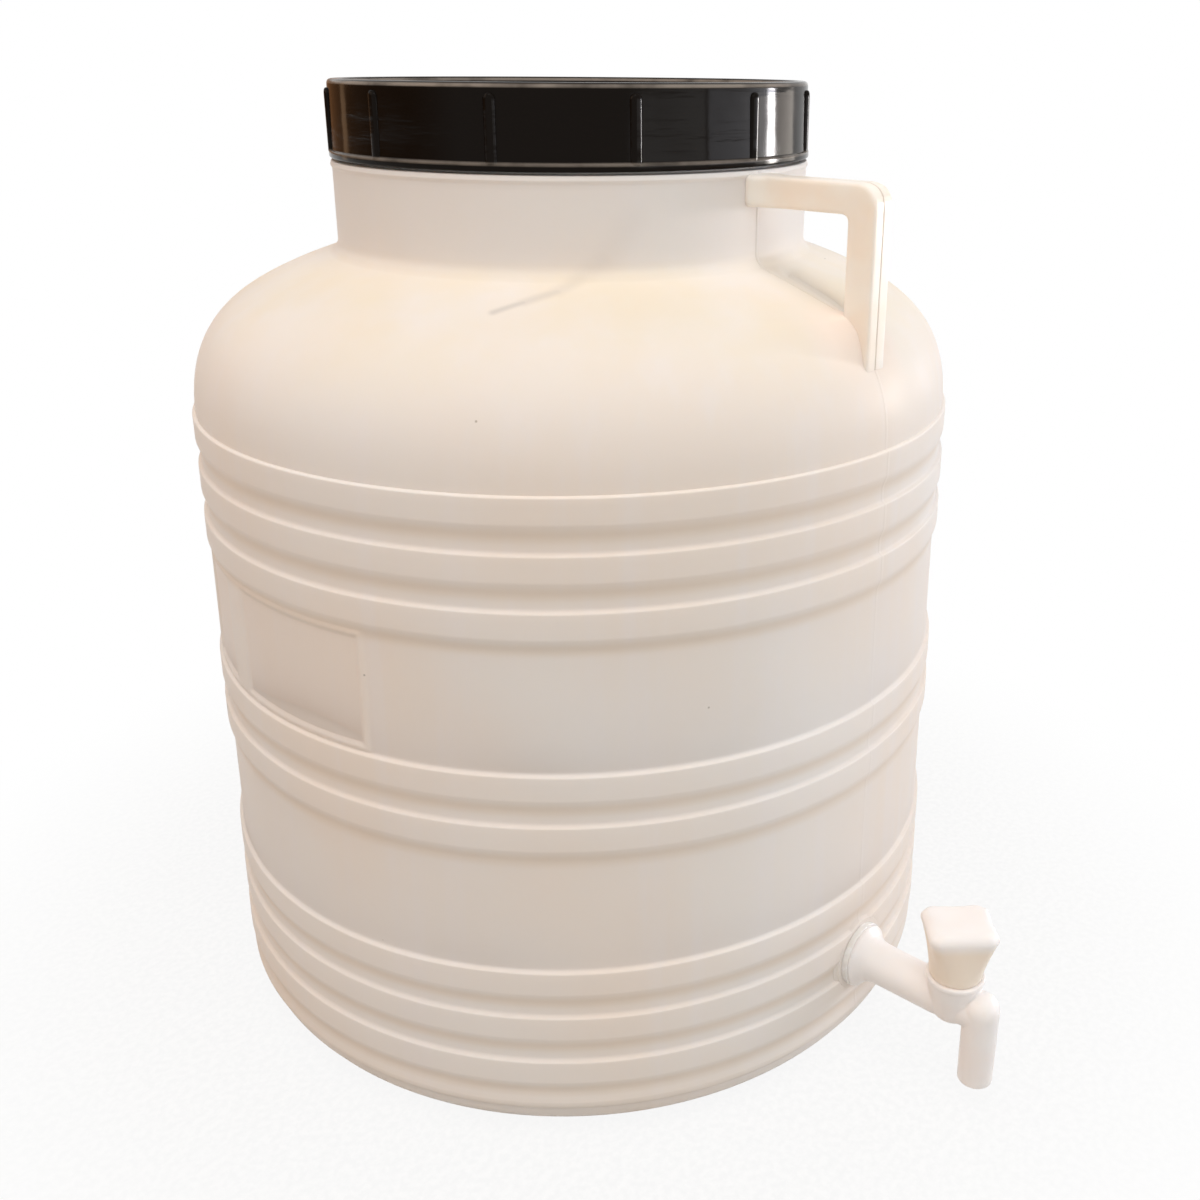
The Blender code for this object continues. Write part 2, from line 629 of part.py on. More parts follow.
def make_tap_key(material):
    """Plug and knob lofted in one piece, with the cross bore cut through the plug."""
    _, valve, _ = tap_places()
    base, mouth, foot = plug_levels()
    angles = [2 * math.pi * step / KEY_STEPS for step in range(KEY_STEPS)]
    rings = [[(PLUG_BASE_RADIUS, base)] * KEY_STEPS, [(PLUG_TOP_RADIUS, mouth)] * KEY_STEPS,
             [(PLUG_TOP_RADIUS, foot)] * KEY_STEPS]
    for level in range(KNOB_LEVELS + 1):
        share = level / KNOB_LEVELS
        height = foot + (KNOB_RISE - KNOB_EDGE) * share
        rings.append([(knob_radius(share, angle), height) for angle in angles])
    rings.append([(knob_radius(1.0, angle) - KNOB_EDGE / 3, foot + KNOB_RISE - KNOB_EDGE / 3)
                  for angle in angles])
    rings.append([(knob_radius(1.0, angle) - KNOB_EDGE, foot + KNOB_RISE) for angle in angles])
    bm = bmesh.new()
    loops = [[bm.verts.new((r * math.cos(a), r * math.sin(a), z))
              for (r, z), a in zip(ring, angles)] for ring in rings]
    for lower, upper in zip(loops, loops[1:]):
        for index in range(KEY_STEPS):
            nxt = (index + 1) % KEY_STEPS
            bm.faces.new((lower[index], lower[nxt], upper[nxt], upper[index]))
    bm.faces.new(list(reversed(loops[0])))
    bm.faces.new(loops[-1])
    key = add_object("key", bm)
    across = Matrix.Translation((0.0, 0.0, TAP_HEIGHT)) @ Matrix.Rotation(math.pi / 2, 4, "Y")
    reach = PLUG_TOP_RADIUS + OVERRUN
    bore = turned("bore", [(0.0, -reach), (PLUG_BORE, -reach), (PLUG_BORE, reach), (0.0, reach)],
                  TAP_STEPS, turn=across)
    combine(key, bore, "DIFFERENCE")
    key.location = (0.0, -valve, 0.0)
    finish(key, "tap_key", material)
    return key


def make_nut(material):
    """Hexagonal back nut on the spigot inside the drum."""
    washer = TOUCH_GAP + WASHER_THICKNESS + TOUCH_GAP
    face = boss_face() - BOSS_WALL - washer
    corner = NUT_FLATS_RADIUS / math.cos(math.pi / 6)
    outline = [(corner * math.cos(a), corner * math.sin(a))
               for a in (math.pi * step / 3 for step in range(6))]
    lay = Matrix.Translation((0.0, 0.0, TAP_HEIGHT)) @ towards(-1)
    nut = prism("nut", outline, face - NUT_THICKNESS, face, lay)
    radius = SPIGOT_RADIUS + NUT_BORE_CLEARANCE
    hole = turned("hole", [(0.0, face - OVERRUN), (radius, face - OVERRUN),
                           (radius, face + OVERRUN), (0.0, face + OVERRUN)], TAP_STEPS, turn=lay)
    combine(nut, hole, "DIFFERENCE")
    finish(nut, "tap_nut", material)
    return nut


def build():
    """Make every piece in its place."""
    clear_scene()
    drum_plastic = make_material("drum_polyethylene", DRUM_COLOUR, 0.38)
    cap_plastic = make_material("cap_polypropylene", CAP_COLOUR, 0.14)
    seal_foam = make_material("seal_foam", SEAL_COLOUR, 0.75)
    tap_plastic = make_material("tap_polyethylene", TAP_COLOUR, 0.32)
    washer_rubber = make_material("washer_rubber", WASHER_COLOUR, 0.65)
    make_drum(drum_plastic)
    make_cap(cap_plastic)
    seal_low = RIM_HEIGHT + TOUCH_GAP
    make_ring("lid_seal", FINISH_RADIUS - WALL - SEAL_OVERHANG, CAP_RADIUS - CAP_WALL - TOUCH_GAP,
              seal_low, seal_low + SEAL_THICKNESS, DRUM_STEPS, seal_foam)
    make_tap_body(tap_plastic)
    make_tap_key(tap_plastic)
    lay = Matrix.Translation((0.0, 0.0, TAP_HEIGHT)) @ towards(-1)
    outer_low = boss_face() + TOUCH_GAP
    inner_high = boss_face() - BOSS_WALL - TOUCH_GAP
    ring_bore = SPIGOT_RADIUS + TOUCH_GAP
    make_ring("tap_washer_outer", ring_bore, WASHER_RADIUS, outer_low,
              outer_low + WASHER_THICKNESS, TAP_STEPS, washer_rubber, lay)
    make_ring("tap_washer_inner", ring_bore, WASHER_RADIUS, inner_high - WASHER_THICKNESS,
              inner_high, TAP_STEPS, washer_rubber, lay)
    make_nut(tap_plastic)


build()
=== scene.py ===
"""A 60 litre blow-moulded food drum with a black screw cap and a cream draw-off tap.

Metres, +Z up. The drum's axis is the Z axis, the tap points along -Y, and both
handles lie in the YZ plane, which is also the parting plane of the mould.
"""

import logging
import math
from dataclasses import dataclass
from enum import Enum
from typing import Any, Callable, Iterable, Sequence

import bmesh
import bpy
import numpy as np
from mathutils import Matrix, Vector


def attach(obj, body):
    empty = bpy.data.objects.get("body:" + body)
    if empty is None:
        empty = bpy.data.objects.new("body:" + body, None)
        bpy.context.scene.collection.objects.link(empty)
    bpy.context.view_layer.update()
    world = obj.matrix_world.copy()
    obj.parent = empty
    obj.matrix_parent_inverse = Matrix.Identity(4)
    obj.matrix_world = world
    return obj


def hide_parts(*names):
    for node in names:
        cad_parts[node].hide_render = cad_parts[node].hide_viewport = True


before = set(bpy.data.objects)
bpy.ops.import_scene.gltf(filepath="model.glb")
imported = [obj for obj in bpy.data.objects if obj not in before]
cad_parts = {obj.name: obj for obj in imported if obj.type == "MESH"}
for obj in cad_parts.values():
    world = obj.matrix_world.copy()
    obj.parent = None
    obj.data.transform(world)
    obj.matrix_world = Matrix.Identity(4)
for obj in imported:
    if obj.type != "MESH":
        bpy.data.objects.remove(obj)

LOG = logging.getLogger("food_drum")
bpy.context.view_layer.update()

# Radius and height, or another flat point; the same with a rounding; a place in space
Point = tuple[float, float]
Corner = tuple[float, float, float]
Place = tuple[float, float, float]

Tree = bpy.types.NodeTree
Node = bpy.types.Node
Socket = bpy.types.NodeSocket
Material = bpy.types.Material
Mesh = bpy.types.Mesh
Piece = bpy.types.Object

# One millimetre, the unit that pattern sizes are thought of in
MM = 0.001

# Setting of a range that starts and ends softly
SOFT = {"interpolation_type": "SMOOTHSTEP"}


class Side(Enum):
    """The side of the drum that a handle stands on."""

    FRONT = -1.0
    BACK = 1.0


class Body(Enum):
    """The moving bodies of the part."""

    DRUM = "drum"
    SEAL = "seal"
    CAP = "cap"
    KEY = "key"


class Slot(Enum):
    """The record's material slots."""

    DRUM = "drum_polyethylene"
    CAP = "cap_polypropylene"
    SEAL = "seal_foam"
    TAP = "tap_polyethylene"
    WASHER = "washer_rubber"


def linear(hex_colour: str) -> tuple[float, float, float, float]:
    """Turn an sRGB hex colour into linear RGBA.

    Args:
        hex_colour: Six hex digits after a hash sign.

    Returns:
        Red, green, blue and an alpha of one.
    """
    parts = [int(hex_colour[i:i + 2], 16) / 255 for i in (1, 3, 5)]
    red, green, blue = (
        part / 12.92 if part <= 0.04045 else ((part + 0.055) / 1.055) ** 2.4 for part in parts
    )
    return red, green, blue, 1.0


def add_node(tree: Tree, kind: str, inputs: dict[Any, Any] | None = None, **settings: Any) -> Node:
    """Add one node with its settings, values and links.

    Args:
        tree: The node tree that gets the node.
        kind: The node's type name.
        inputs: What each input gets, by name or index: a value, a hex colour, a socket to
            link, or a node, whose first live output is linked.
        **settings: Properties of the node.

    Returns:
        The new node.
    """
    node = tree.nodes.new(kind)
    for name, value in settings.items():
        setattr(node, name, value)
    for key, value in (inputs or {}).items():
        if isinstance(value, Node):
            value = next(output for output in value.outputs if output.enabled)
        if isinstance(value, Socket):
            tree.links.new(value, node.inputs[key])
        elif isinstance(value, str) and value.startswith("#"):
            node.inputs[key].default_value = linear(value)
        else:
            node.inputs[key].default_value = value
    return node


def new_material(name: str) -> tuple[Material, Tree, Socket]:
    """Make an empty node material.

    Args:
        name: The material's name.

    Returns:
        The material, its tree and the object coordinates in it.
    """
    material = bpy.data.materials.new(name)
    material.use_nodes = True
    tree = material.node_tree
    tree.nodes.clear()
    return material, tree, add_node(tree, "ShaderNodeTexCoord").outputs["Object"]


def patches(tree: Tree, place: Socket, size: float,
            detail: float = 2.0, stretch: Place = (1.0, 1.0, 1.0)) -> Node:
    """Spread soft random patches of a real size.

    Args:
        tree: The material's tree.
        place: Object coordinates.
        size: Size of one patch in metres.
        detail: Octaves.
        stretch: How much longer the patches are along each axis.

    Returns:
        The node with their strength.
    """
    scaled = add_node(tree, "ShaderNodeMapping",
                      {"Vector": place, "Scale": tuple(1.0 / part for part in stretch)})
    # A noise of scale one has patches about half a unit wide
    return add_node(tree, "ShaderNodeTexNoise",
                    {"Vector": scaled, "Scale": 0.5 / size, "Detail": detail})


def specks(tree: Tree, place: Socket, pitch: float, bare: Point,
           fade: Point, strength: float) -> Node:
    """Scatter small round specks, one at most in each cell of a loose raster.

    Args:
        tree: The material's tree.
        place: Object coordinates.
        pitch: Width of a cell in metres.
        bare: Share of cells with no speck, as a soft threshold.
        fade: Where a speck starts and ends to fade, in shares of the pitch.
        strength: How strongly a speck shows.

    Returns:
        The node with their strength.
    """
    cells = add_node(tree, "ShaderNodeTexVoronoi", {"Vector": place, "Scale": 1.0 / pitch})
    pick = add_node(tree, "ShaderNodeSeparateColor", {0: cells.outputs["Color"]})
    few = add_node(tree, "ShaderNodeMapRange", {0: pick, 1: bare[0], 2: bare[1]}, **SOFT)
    dots = add_node(tree, "ShaderNodeMapRange",
                    {0: cells, 1: fade[0], 2: fade[1], 3: strength, 4: 0.0}, **SOFT)
    return add_node(tree, "ShaderNodeMath", {0: dots, 1: few}, operation="MULTIPLY")


def near_line(tree: Tree, place: Socket, start: Place, end: Place, width: float) -> Node:
    """Tell how close a point lies to a straight stretch.

    Args:
        tree: The material's tree.
        place: Object coordinates.
        start: One end of the stretch.
        end: Its other end.
        width: Distance at which the closeness reaches zero.

    Returns:
        The node with one on the stretch, falling softly to zero at the width.
    """
    way = Vector(end) - Vector(start)
    gap = add_node(tree, "ShaderNodeVectorMath", {0: place, 1: start}, operation="SUBTRACT")
    along = add_node(tree, "ShaderNodeVectorMath", {0: gap, 1: tuple(way / way.length_squared)},
                     operation="DOT_PRODUCT")
    share = add_node(tree, "ShaderNodeClamp", {0: along})
    nearest = add_node(tree, "ShaderNodeVectorMath", {0: tuple(way), "Scale": share},
                       operation="SCALE")
    away = add_node(tree, "ShaderNodeVectorMath", {0: gap, 1: nearest}, operation="DISTANCE")
    return add_node(tree, "ShaderNodeMapRange", {0: away, 1: 0.0, 2: width, 3: 1.0, 4: 0.0},
                    **SOFT)


def parting_ridge(tree: Tree, place: Socket, width: float) -> Node:
    """Draw the fine seam that the mould's parting plane leaves at X = 0.

    Args:
        tree: The material's tree.
        place: Object coordinates.
        width: Half the width of the ridge in metres.

    Returns:
        The node with one on the seam, falling to zero beside it.
    """
    split = add_node(tree, "ShaderNodeSeparateXYZ", {0: place})
    away = add_node(tree, "ShaderNodeMath", {0: split}, operation="ABSOLUTE")
    return add_node(tree, "ShaderNodeMapRange", {0: away, 1: 0.0, 2: width, 3: 1.0, 4: 0.0},
                    **SOFT)


@dataclass(frozen=True)
class Tint:
    """A colour laid over what is there, where a mask says so."""

    mask: Any
    colour: str
    # Mask values between which the tint comes in; without them the mask is its strength
    low: float | None = None
    high: float = 1.0
    share: float = 1.0


def tinted(tree: Tree, ground: str, tints: Iterable[Tint]) -> Any:
    """Lay tints over a ground colour, one after the other.

    Args:
        tree: The material's tree.
        ground: The ground colour.
        tints: The tints, the lowest first.

    Returns:
        The node with the finished colour.
    """
    colour: Any = ground
    for tint in tints:
        mask = tint.mask
        if tint.low is not None:
            mask = add_node(tree, "ShaderNodeMapRange",
                            {0: mask, 1: tint.low, 2: tint.high, 4: tint.share}, **SOFT)
        colour = add_node(tree, "ShaderNodeMix", {0: mask, 6: colour, 7: tint.colour},
                          data_type="RGBA")
    return colour


def relief(tree: Tree, layers: Iterable[tuple[Any, float, Any]]) -> Any:
    """Raise layers of fine relief, each on top of the one before.

    Args:
        tree: The material's tree.
        layers: Pattern, depth in metres and strength of each layer.

    Returns:
        The node with the finished normal.
    """
    normal: dict[str, Any] = {}
    for pattern, depth, strength in layers:
        bump = add_node(tree, "ShaderNodeBump", {
            "Strength": strength, "Distance": depth, "Height": pattern, **normal})
        normal = {"Normal": bump}
    return normal["Normal"]


class Finish:
    """A finish whose node material is one Principled shader, fed by patterns."""

    name: str

    def surface(self, tree: Tree, place: Socket) -> dict[str, Any]:
        """Add the nodes that feed the shader.

        Args:
            tree: The material's tree.
            place: Object coordinates.

        Returns:
            What each of the shader's inputs gets.
        """
        raise NotImplementedError

    def material(self) -> Material:
        """Build the node material.

        Returns:
            The material, named for its real stuff.
        """
        material, tree, place = new_material(self.name)
        shader = add_node(tree, "ShaderNodeBsdfPrincipled", self.surface(tree, place))
        add_node(tree, "ShaderNodeOutputMaterial", {0: shader})
        return material


@dataclass(frozen=True)
class BlownPolyethylene(Finish):
    """Natural high-density polyethylene, extrusion blow-moulded.

    The wall is milky and lets light soak in, so shading is soft and warm. The parison
    leaves faint upright flow streaks, and handling leaves dull scuffs and specks.
    """

    name: str = "natural_hdpe_blow_moulded"
    body: str = "#F2EBE4"
    warm: str = "#F3E6DA"
    cool: str = "#F2EBE8"
    # Colour of the painted shade in the grooves under the bands, and of the darker bottom
    soil_and_shade: str = "#E6D3BE"
    dust: str = "#F1E2C9"
    smudge: str = "#A7A09A"
    speck: str = "#8F7F6C"
    # Warm tint: painted shade round the handle's foot, laid lightly in the marking fields too
    thick: str = "#FBE8D9"
    neck_shade: str = "#DAD8D7"
    roughness: float = 0.47
    skin: float = 0.24
    skin_weight: float = 0.015
    depth: float = 4.0 * MM
    soak: float = 0.22
    # Real mould grain is finer than this; it is drawn as coarse as it needs to be to show
    grain: float = 0.5 * MM
    streak: float = 7.0 * MM
    speck_pitch: float = 100.0 / 3.0 * MM
    # Heights between which dust settles on the shoulder, and where the neck ends it
    dust_rise: Point = (0.37, 0.425)
    dust_end: Point = (0.430, 0.440)
    # A grey rub runs from the shoulder up onto the neck: the start, end, width and strength
    # of each stretch
    rubs: tuple[tuple[Place, Place, float, float], ...] = (
        ((-0.1359, -0.0837, 0.4200), (-0.1226, -0.0892, 0.4232), 0.0036, 0.36),
        ((-0.1226, -0.0892, 0.4232), (-0.1062, -0.0942, 0.4268), 0.0052, 0.26),
        ((-0.1062, -0.0942, 0.4268), (-0.0881, -0.0936, 0.4307), 0.0070, 0.16),
        ((-0.0881, -0.0936, 0.4307), (-0.0808, -0.0998, 0.4393), 0.0090, 0.10),
        ((-0.0808, -0.0998, 0.4393), (-0.0692, -0.1083, 0.4574), 0.0115, 0.06))

    def surface(self, tree: Tree, place: Socket) -> dict[str, Any]:
        """Add flow streaks, dust, painted shade in the grooves, the grey rub, specks and the
        mould's seam.

        Args:
            tree: The material's tree.
            place: Object coordinates.

        Returns:
            What each of the shader's inputs gets.
        """
        level = add_node(tree, "ShaderNodeSeparateXYZ", {0: place}).outputs["Z"]
        dust = add_node(tree, "ShaderNodeMapRange",
                        {0: level, 1: self.dust_rise[0], 2: self.dust_rise[1]}, **SOFT)
        below = add_node(tree, "ShaderNodeMapRange", {
            0: level, 1: self.dust_end[0], 2: self.dust_end[1], 3: 1.0, 4: 0.0}, **SOFT)
        drift = add_node(tree, "ShaderNodeMapRange", {
            0: patches(tree, place, 30 * MM, 3.0), 1: 0.3, 2: 0.7, 3: 0.15, 4: 0.75}, **SOFT)
        for part in (below, drift):
            dust = add_node(tree, "ShaderNodeMath", {0: dust, 1: part}, operation="MULTIPLY")
        soil_and_shade, flare = (add_node(tree, "ShaderNodeAttribute", attribute_name=label).outputs["Fac"]
                       for label in ("groove", "flare"))
        rub_and_highlight: Any = 0.0
        for start, end, width, strength in self.rubs:
            mark = near_line(tree, place, start, end, width)
            dull = add_node(tree, "ShaderNodeMath", {0: mark, 1: strength}, operation="MULTIPLY")
            rub_and_highlight = add_node(tree, "ShaderNodeMath", {0: rub_and_highlight, 1: dull}, operation="MAXIMUM")
        colour = tinted(tree, self.body, (
            Tint(patches(tree, place, 90 * MM), self.warm, 0.35, 0.65),
            Tint(patches(tree, place, self.streak, 3.0, (1.0, 1.0, 26.0)), self.cool,
                 0.45, 0.75, 0.35),
            Tint(dust, self.dust),
            # Painted shade in the grooves under the bands, and darker towards the bottom
            Tint(soil_and_shade, self.soil_and_shade, 0.0, 1.0, 0.40),
            # Warm tint: painted shade round the handle's foot, and a little in the marking fields
            Tint(flare, self.thick, 0.0, 0.9, 0.9),
            Tint(level, self.neck_shade, 0.426, 0.446, 0.32),
            Tint(rub_and_highlight, self.smudge),
            Tint(specks(tree, place, self.speck_pitch, (0.70, 0.74), (0.010, 0.026), 0.6),
                 self.speck)))
        rough = add_node(tree, "ShaderNodeMapRange", {
            0: patches(tree, place, 22 * MM, 4.0, (1.0, 1.0, 0.5)), 1: 0.4, 2: 0.7,
            3: self.roughness - 0.05, 4: self.roughness + 0.10}, **SOFT)
        # The seam is plain on the shoulder and faint on the wall
        plain = add_node(tree, "ShaderNodeMapRange", {0: level, 1: 0.36, 2: 0.43, 3: 0.3}, **SOFT)
        normal = relief(tree, (
            (patches(tree, place, self.grain), 0.05 * MM, 0.10),
            (parting_ridge(tree, place, 1.3 * MM), 0.5 * MM, plain)))
        return {"Base Color": colour, "Roughness": rough, "IOR": 1.54,
                "Specular IOR Level": 0.03, "Coat Weight": self.skin_weight,
                "Coat Roughness": self.skin, "Subsurface Weight": self.soak,
                "Subsurface Radius": (1.0, 0.85, 0.72), "Subsurface Scale": self.depth,
                "Normal": normal}


@dataclass(frozen=True)
class MouldedPolyethylene(Finish):
    """Polyethylene in thick, solid sections.

    It looks creamier and denser than the blown wall and a little glossier, with amber
    painted in as shade where a piece marks it. Soil gathers along the parting seam.
    """

    name: str
    body: str
    deep: str
    roughness: float = 0.40
    skin: float = 0.20
    skin_weight: float = 0.05
    depth: float = 5.0 * MM
    soak: float = 0.25
    seam_width: float = 0.0
    soil_and_shade: str = "#C9B094"
    amber: str = "#F9E4CB"

    def surface(self, tree: Tree, place: Socket) -> dict[str, Any]:
        """Add cloudy depth, painted amber shade where a piece marks it, scuffs and, where it has
        one, the seam.

        Args:
            tree: The material's tree.
            place: Object coordinates.

        Returns:
            What each of the shader's inputs gets.
        """
        # Amber painted where a piece marks it, as shade: the knob's sides below its pale top
        thick = add_node(tree, "ShaderNodeAttribute", attribute_name="thick").outputs["Fac"]
        tints = [Tint(patches(tree, place, 14 * MM), self.deep, 0.35, 0.7),
                 Tint(thick, self.amber, 0.0, 1.0, 0.65)]
        layers = [(patches(tree, place, 0.6 * MM), 0.05 * MM, 0.12)]
        if self.seam_width:
            ridge = parting_ridge(tree, place, self.seam_width)
            held = add_node(tree, "ShaderNodeMath", {0: ridge, 1: 0.45}, operation="MULTIPLY")
            tints.append(Tint(held, self.soil_and_shade))
            layers.append((ridge, 0.6 * MM, 1.0))
        rough = add_node(tree, "ShaderNodeMapRange", {
            0: patches(tree, place, 6 * MM, 4.0), 1: 0.4, 2: 0.7,
            3: self.roughness - 0.03, 4: self.roughness + 0.10}, **SOFT)
        return {"Base Color": tinted(tree, self.body, tints), "Roughness": rough, "IOR": 1.52,
                "Specular IOR Level": 0.25, "Coat Weight": self.skin_weight,
                "Coat Roughness": self.skin, "Subsurface Weight": self.soak,
                "Subsurface Radius": (1.0, 0.9, 0.8), "Subsurface Scale": self.depth,
                "Normal": relief(tree, layers)}


@dataclass(frozen=True)
class GlossPolypropylene(Finish):
    """Black polypropylene from a polished mould.

    The skin is glossy but slightly wavy where the melt flowed round the skirt, which
    breaks reflections into level streaks, and it holds dust specks and painted highlight lines.
    """

    name: str = "gloss_black_polypropylene"
    body: str = "#140F0B"
    dust: str = "#8A8178"
    # Pale colour of the painted highlight lines on the rim and the foot bead
    rub_and_highlight: str = "#8B8177"
    roughness: float = 0.12
    speck_pitch: float = 6.25 * MM
    # Height and strength of the painted highlight lines: the rim and the foot bead
    highlight_edges: tuple[Point, ...] = ((0.5165, 1.0), (0.4823, 0.6))

    def surface(self, tree: Tree, place: Socket) -> dict[str, Any]:
        """Add dust specks, the painted highlight lines on the edges and the waves of the melt's
        flow.

        Args:
            tree: The material's tree.
            place: Object coordinates.

        Returns:
            What each of the shader's inputs gets.
        """
        tints = [Tint(specks(tree, place, self.speck_pitch, (0.93, 0.96), (0.05, 0.12), 0.75),
                      self.dust)]
        level = add_node(tree, "ShaderNodeSeparateXYZ", {0: place}).outputs["Z"]
        # Painted highlights along the rim and the foot bead, broken up in patches
        highlight_gaps = add_node(tree, "ShaderNodeMapRange", {
            0: patches(tree, place, 12 * MM, 3.0), 1: 0.3, 2: 0.6, 3: 0.35}, **SOFT)
        for height, strength in self.highlight_edges:
            gap = add_node(tree, "ShaderNodeMath", {0: level, 1: height}, operation="SUBTRACT")
            away = add_node(tree, "ShaderNodeMath", {0: gap}, operation="ABSOLUTE")
            line = add_node(tree, "ShaderNodeMapRange", {
                0: away, 1: 0.3 * MM, 2: 1.2 * MM, 3: strength, 4: 0.0}, **SOFT)
            edge_highlight = add_node(tree, "ShaderNodeMath", {0: line, 1: highlight_gaps}, operation="MULTIPLY")
            tints.append(Tint(edge_highlight, self.rub_and_highlight))
        rough = add_node(tree, "ShaderNodeMapRange", {
            0: patches(tree, place, 16 * MM, 4.0), 1: 0.4, 2: 0.75,
            3: self.roughness - 0.03, 4: self.roughness + 0.09}, **SOFT)
        normal = relief(tree, (
            (patches(tree, place, 3 * MM, 3.0, (9.0, 9.0, 1.0)), 0.17 * MM, 1.0),
            (patches(tree, place, 18 * MM), 0.45 * MM, 0.6)))
        return {"Base Color": tinted(tree, self.body, tints), "Roughness": rough, "IOR": 1.49,
                "Specular IOR Level": 0.06, "Normal": normal}


@dataclass(frozen=True)
class CellFoam(Finish):
    """Closed-cell polyethylene foam, punched from sheet: matt, with tiny open pores."""

    name: str = "closed_cell_foam"
    body: str = "#E3E0D8"
    pore: str = "#BDB8AD"
    cell: float = 0.9 * MM

    def surface(self, tree: Tree, place: Socket) -> dict[str, Any]:
        """Add the cells that the cut opened, with painted shade in their hollows.

        Args:
            tree: The material's tree.
            place: Object coordinates.

        Returns:
            What each of the shader's inputs gets.
        """
        cells = add_node(tree, "ShaderNodeTexVoronoi", {"Vector": place, "Scale": 1 / self.cell})
        wall = add_node(tree, "ShaderNodeMapRange", {0: cells, 1: 0.1, 2: 0.6}, **SOFT)
        # The pores are painted darker than the cell walls, as the shade inside them
        return {"Base Color": tinted(tree, self.pore, [Tint(wall, self.body)]),
                "Roughness": 0.85, "IOR": 1.45,
                "Normal": relief(tree, [(wall, 0.15 * MM, 0.4)])}


@dataclass(frozen=True)
class MilkySilicone(Finish):
    """Clear food-grade silicone, press-moulded: milky, cloudy with bloom, softly glossy."""

    name: str = "milky_silicone_rubber"
    body: str = "#F6F0E8"
    bloom: str = "#FBF7F2"

    def surface(self, tree: Tree, place: Socket) -> dict[str, Any]:
        """Add the bloom that clouds and dulls the rubber in patches.

        Args:
            tree: The material's tree.
            place: Object coordinates.

        Returns:
            What each of the shader's inputs gets.
        """
        cloud = patches(tree, place, 4 * MM, 3.0)
        rough = add_node(tree, "ShaderNodeMapRange",
                         {0: cloud, 1: 0.35, 2: 0.7, 3: 0.16, 4: 0.30}, **SOFT)
        return {"Base Color": tinted(tree, self.body, [Tint(cloud, self.bloom, 0.4, 0.7)]),
                "Roughness": rough, "IOR": 1.43, "Subsurface Weight": 0.6,
                "Subsurface Radius": (1.0, 1.0, 0.9), "Subsurface Scale": 3 * MM}


def rounded_path(corners: Sequence[Corner], spacing: float, turn: float = 14.0) -> list[Point]:
    """Round the corners of a polyline and fill in its long runs.

    Args:
        corners: Radius, height and rounding of each corner; the ends are kept sharp.
        spacing: Longest step along a straight run.
        turn: Degrees of arc between two points of a rounding.

    Returns:
        The points of the path, in order.
    """
    flat = [np.array(corner[:2]) for corner in corners]
    path: list[np.ndarray] = [flat[0]]
    for before, here, after, corner in zip(flat, flat[1:], flat[2:], corners[1:]):
        into, away = here - before, after - here
        long_in, long_out = np.linalg.norm(into), np.linalg.norm(away)
        if min(long_in, long_out) < 1e-9:
            continue
        into, away = into / long_in, away / long_out
        bend = math.acos(float(np.clip(into @ away, -1.0, 1.0)))
        rounding = corner[2]
        if rounding <= 0.0 or bend < 0.02:
            path.append(here)
            continue
        reach = min(rounding * math.tan(bend / 2), 0.49 * long_in, 0.49 * long_out)
        start, end = here - into * reach, here + away * reach
        steps = max(2, math.ceil(math.degrees(bend) / turn))
        for step in range(steps + 1):
            t = step / steps
            path.append((1 - t) ** 2 * start + 2 * t * (1 - t) * here + t * t * end)
    path.append(flat[-1])
    filled: list[Point] = []
    for here, after in zip(path, path[1:]):
        steps = max(1, math.ceil(float(np.linalg.norm(after - here)) / spacing))
        for step in range(steps):
            spot = here + (after - here) * step / steps
            filled.append((float(spot[0]), float(spot[1])))
    filled.append((float(path[-1][0]), float(path[-1][1])))
    return filled


def bezier(p0: Point, p1: Point, p2: Point, p3: Point, steps: int) -> list[Point]:
    """Points on a cubic curve, both ends included.

    Args:
        p0: Start.
        p1: First handle.
        p2: Second handle.
        p3: End.
        steps: Number of steps.

    Returns:
        The points.
    """
    spots = []
    for step in range(steps + 1):
        t = step / steps
        weights = ((1 - t) ** 3, 3 * t * (1 - t) ** 2, 3 * t * t * (1 - t), t ** 3)
        spots.append((sum(w * p[0] for w, p in zip(weights, (p0, p1, p2, p3))),
                      sum(w * p[1] for w, p in zip(weights, (p0, p1, p2, p3)))))
    return spots


def portion(distance: Any, reach: Any) -> Any:
    """How far a distance has gone of its reach, as 0 to 1."""
    return np.clip(distance / reach, 0.0, 1.0)


def even_meridians(count: int) -> list[float]:
    """List the angles of evenly spread meridians, the last one closing on the first."""
    return [2 * math.pi * step / count for step in range(count + 1)]


def link(name: str, data: bpy.types.ID) -> Piece:
    """Put a mesh, lamp or camera into the scene.

    Args:
        name: The object's name.
        data: What the object shows.

    Returns:
        The new object.
    """
    item = bpy.data.objects.new(name, data)
    bpy.context.scene.collection.objects.link(item)
    return item


def plain_mesh(name: str, verts: Iterable[Place], faces: Iterable[Sequence[int]]) -> Piece:
    """Make an object from points and faces.

    Args:
        name: The object's name.
        verts: The points.
        faces: Point numbers of each face.

    Returns:
        The new object.
    """
    mesh = bpy.data.meshes.new(name)
    mesh.from_pydata([tuple(vert) for vert in verts], [], [tuple(face) for face in faces])
    mesh.update()
    return link(name, mesh)


def bake(item: Piece) -> Piece:
    """Turn an object's live modifiers into its plain mesh.

    Args:
        item: The object.

    Returns:
        The same object, with no modifier left.
    """
    graph = bpy.context.evaluated_depsgraph_get()
    graph.update()
    mesh = bpy.data.meshes.new_from_object(item.evaluated_get(graph))
    item.modifiers.clear()
    old = item.data
    item.data = mesh
    bpy.data.meshes.remove(old)
    item.data.name = item.name
    return item


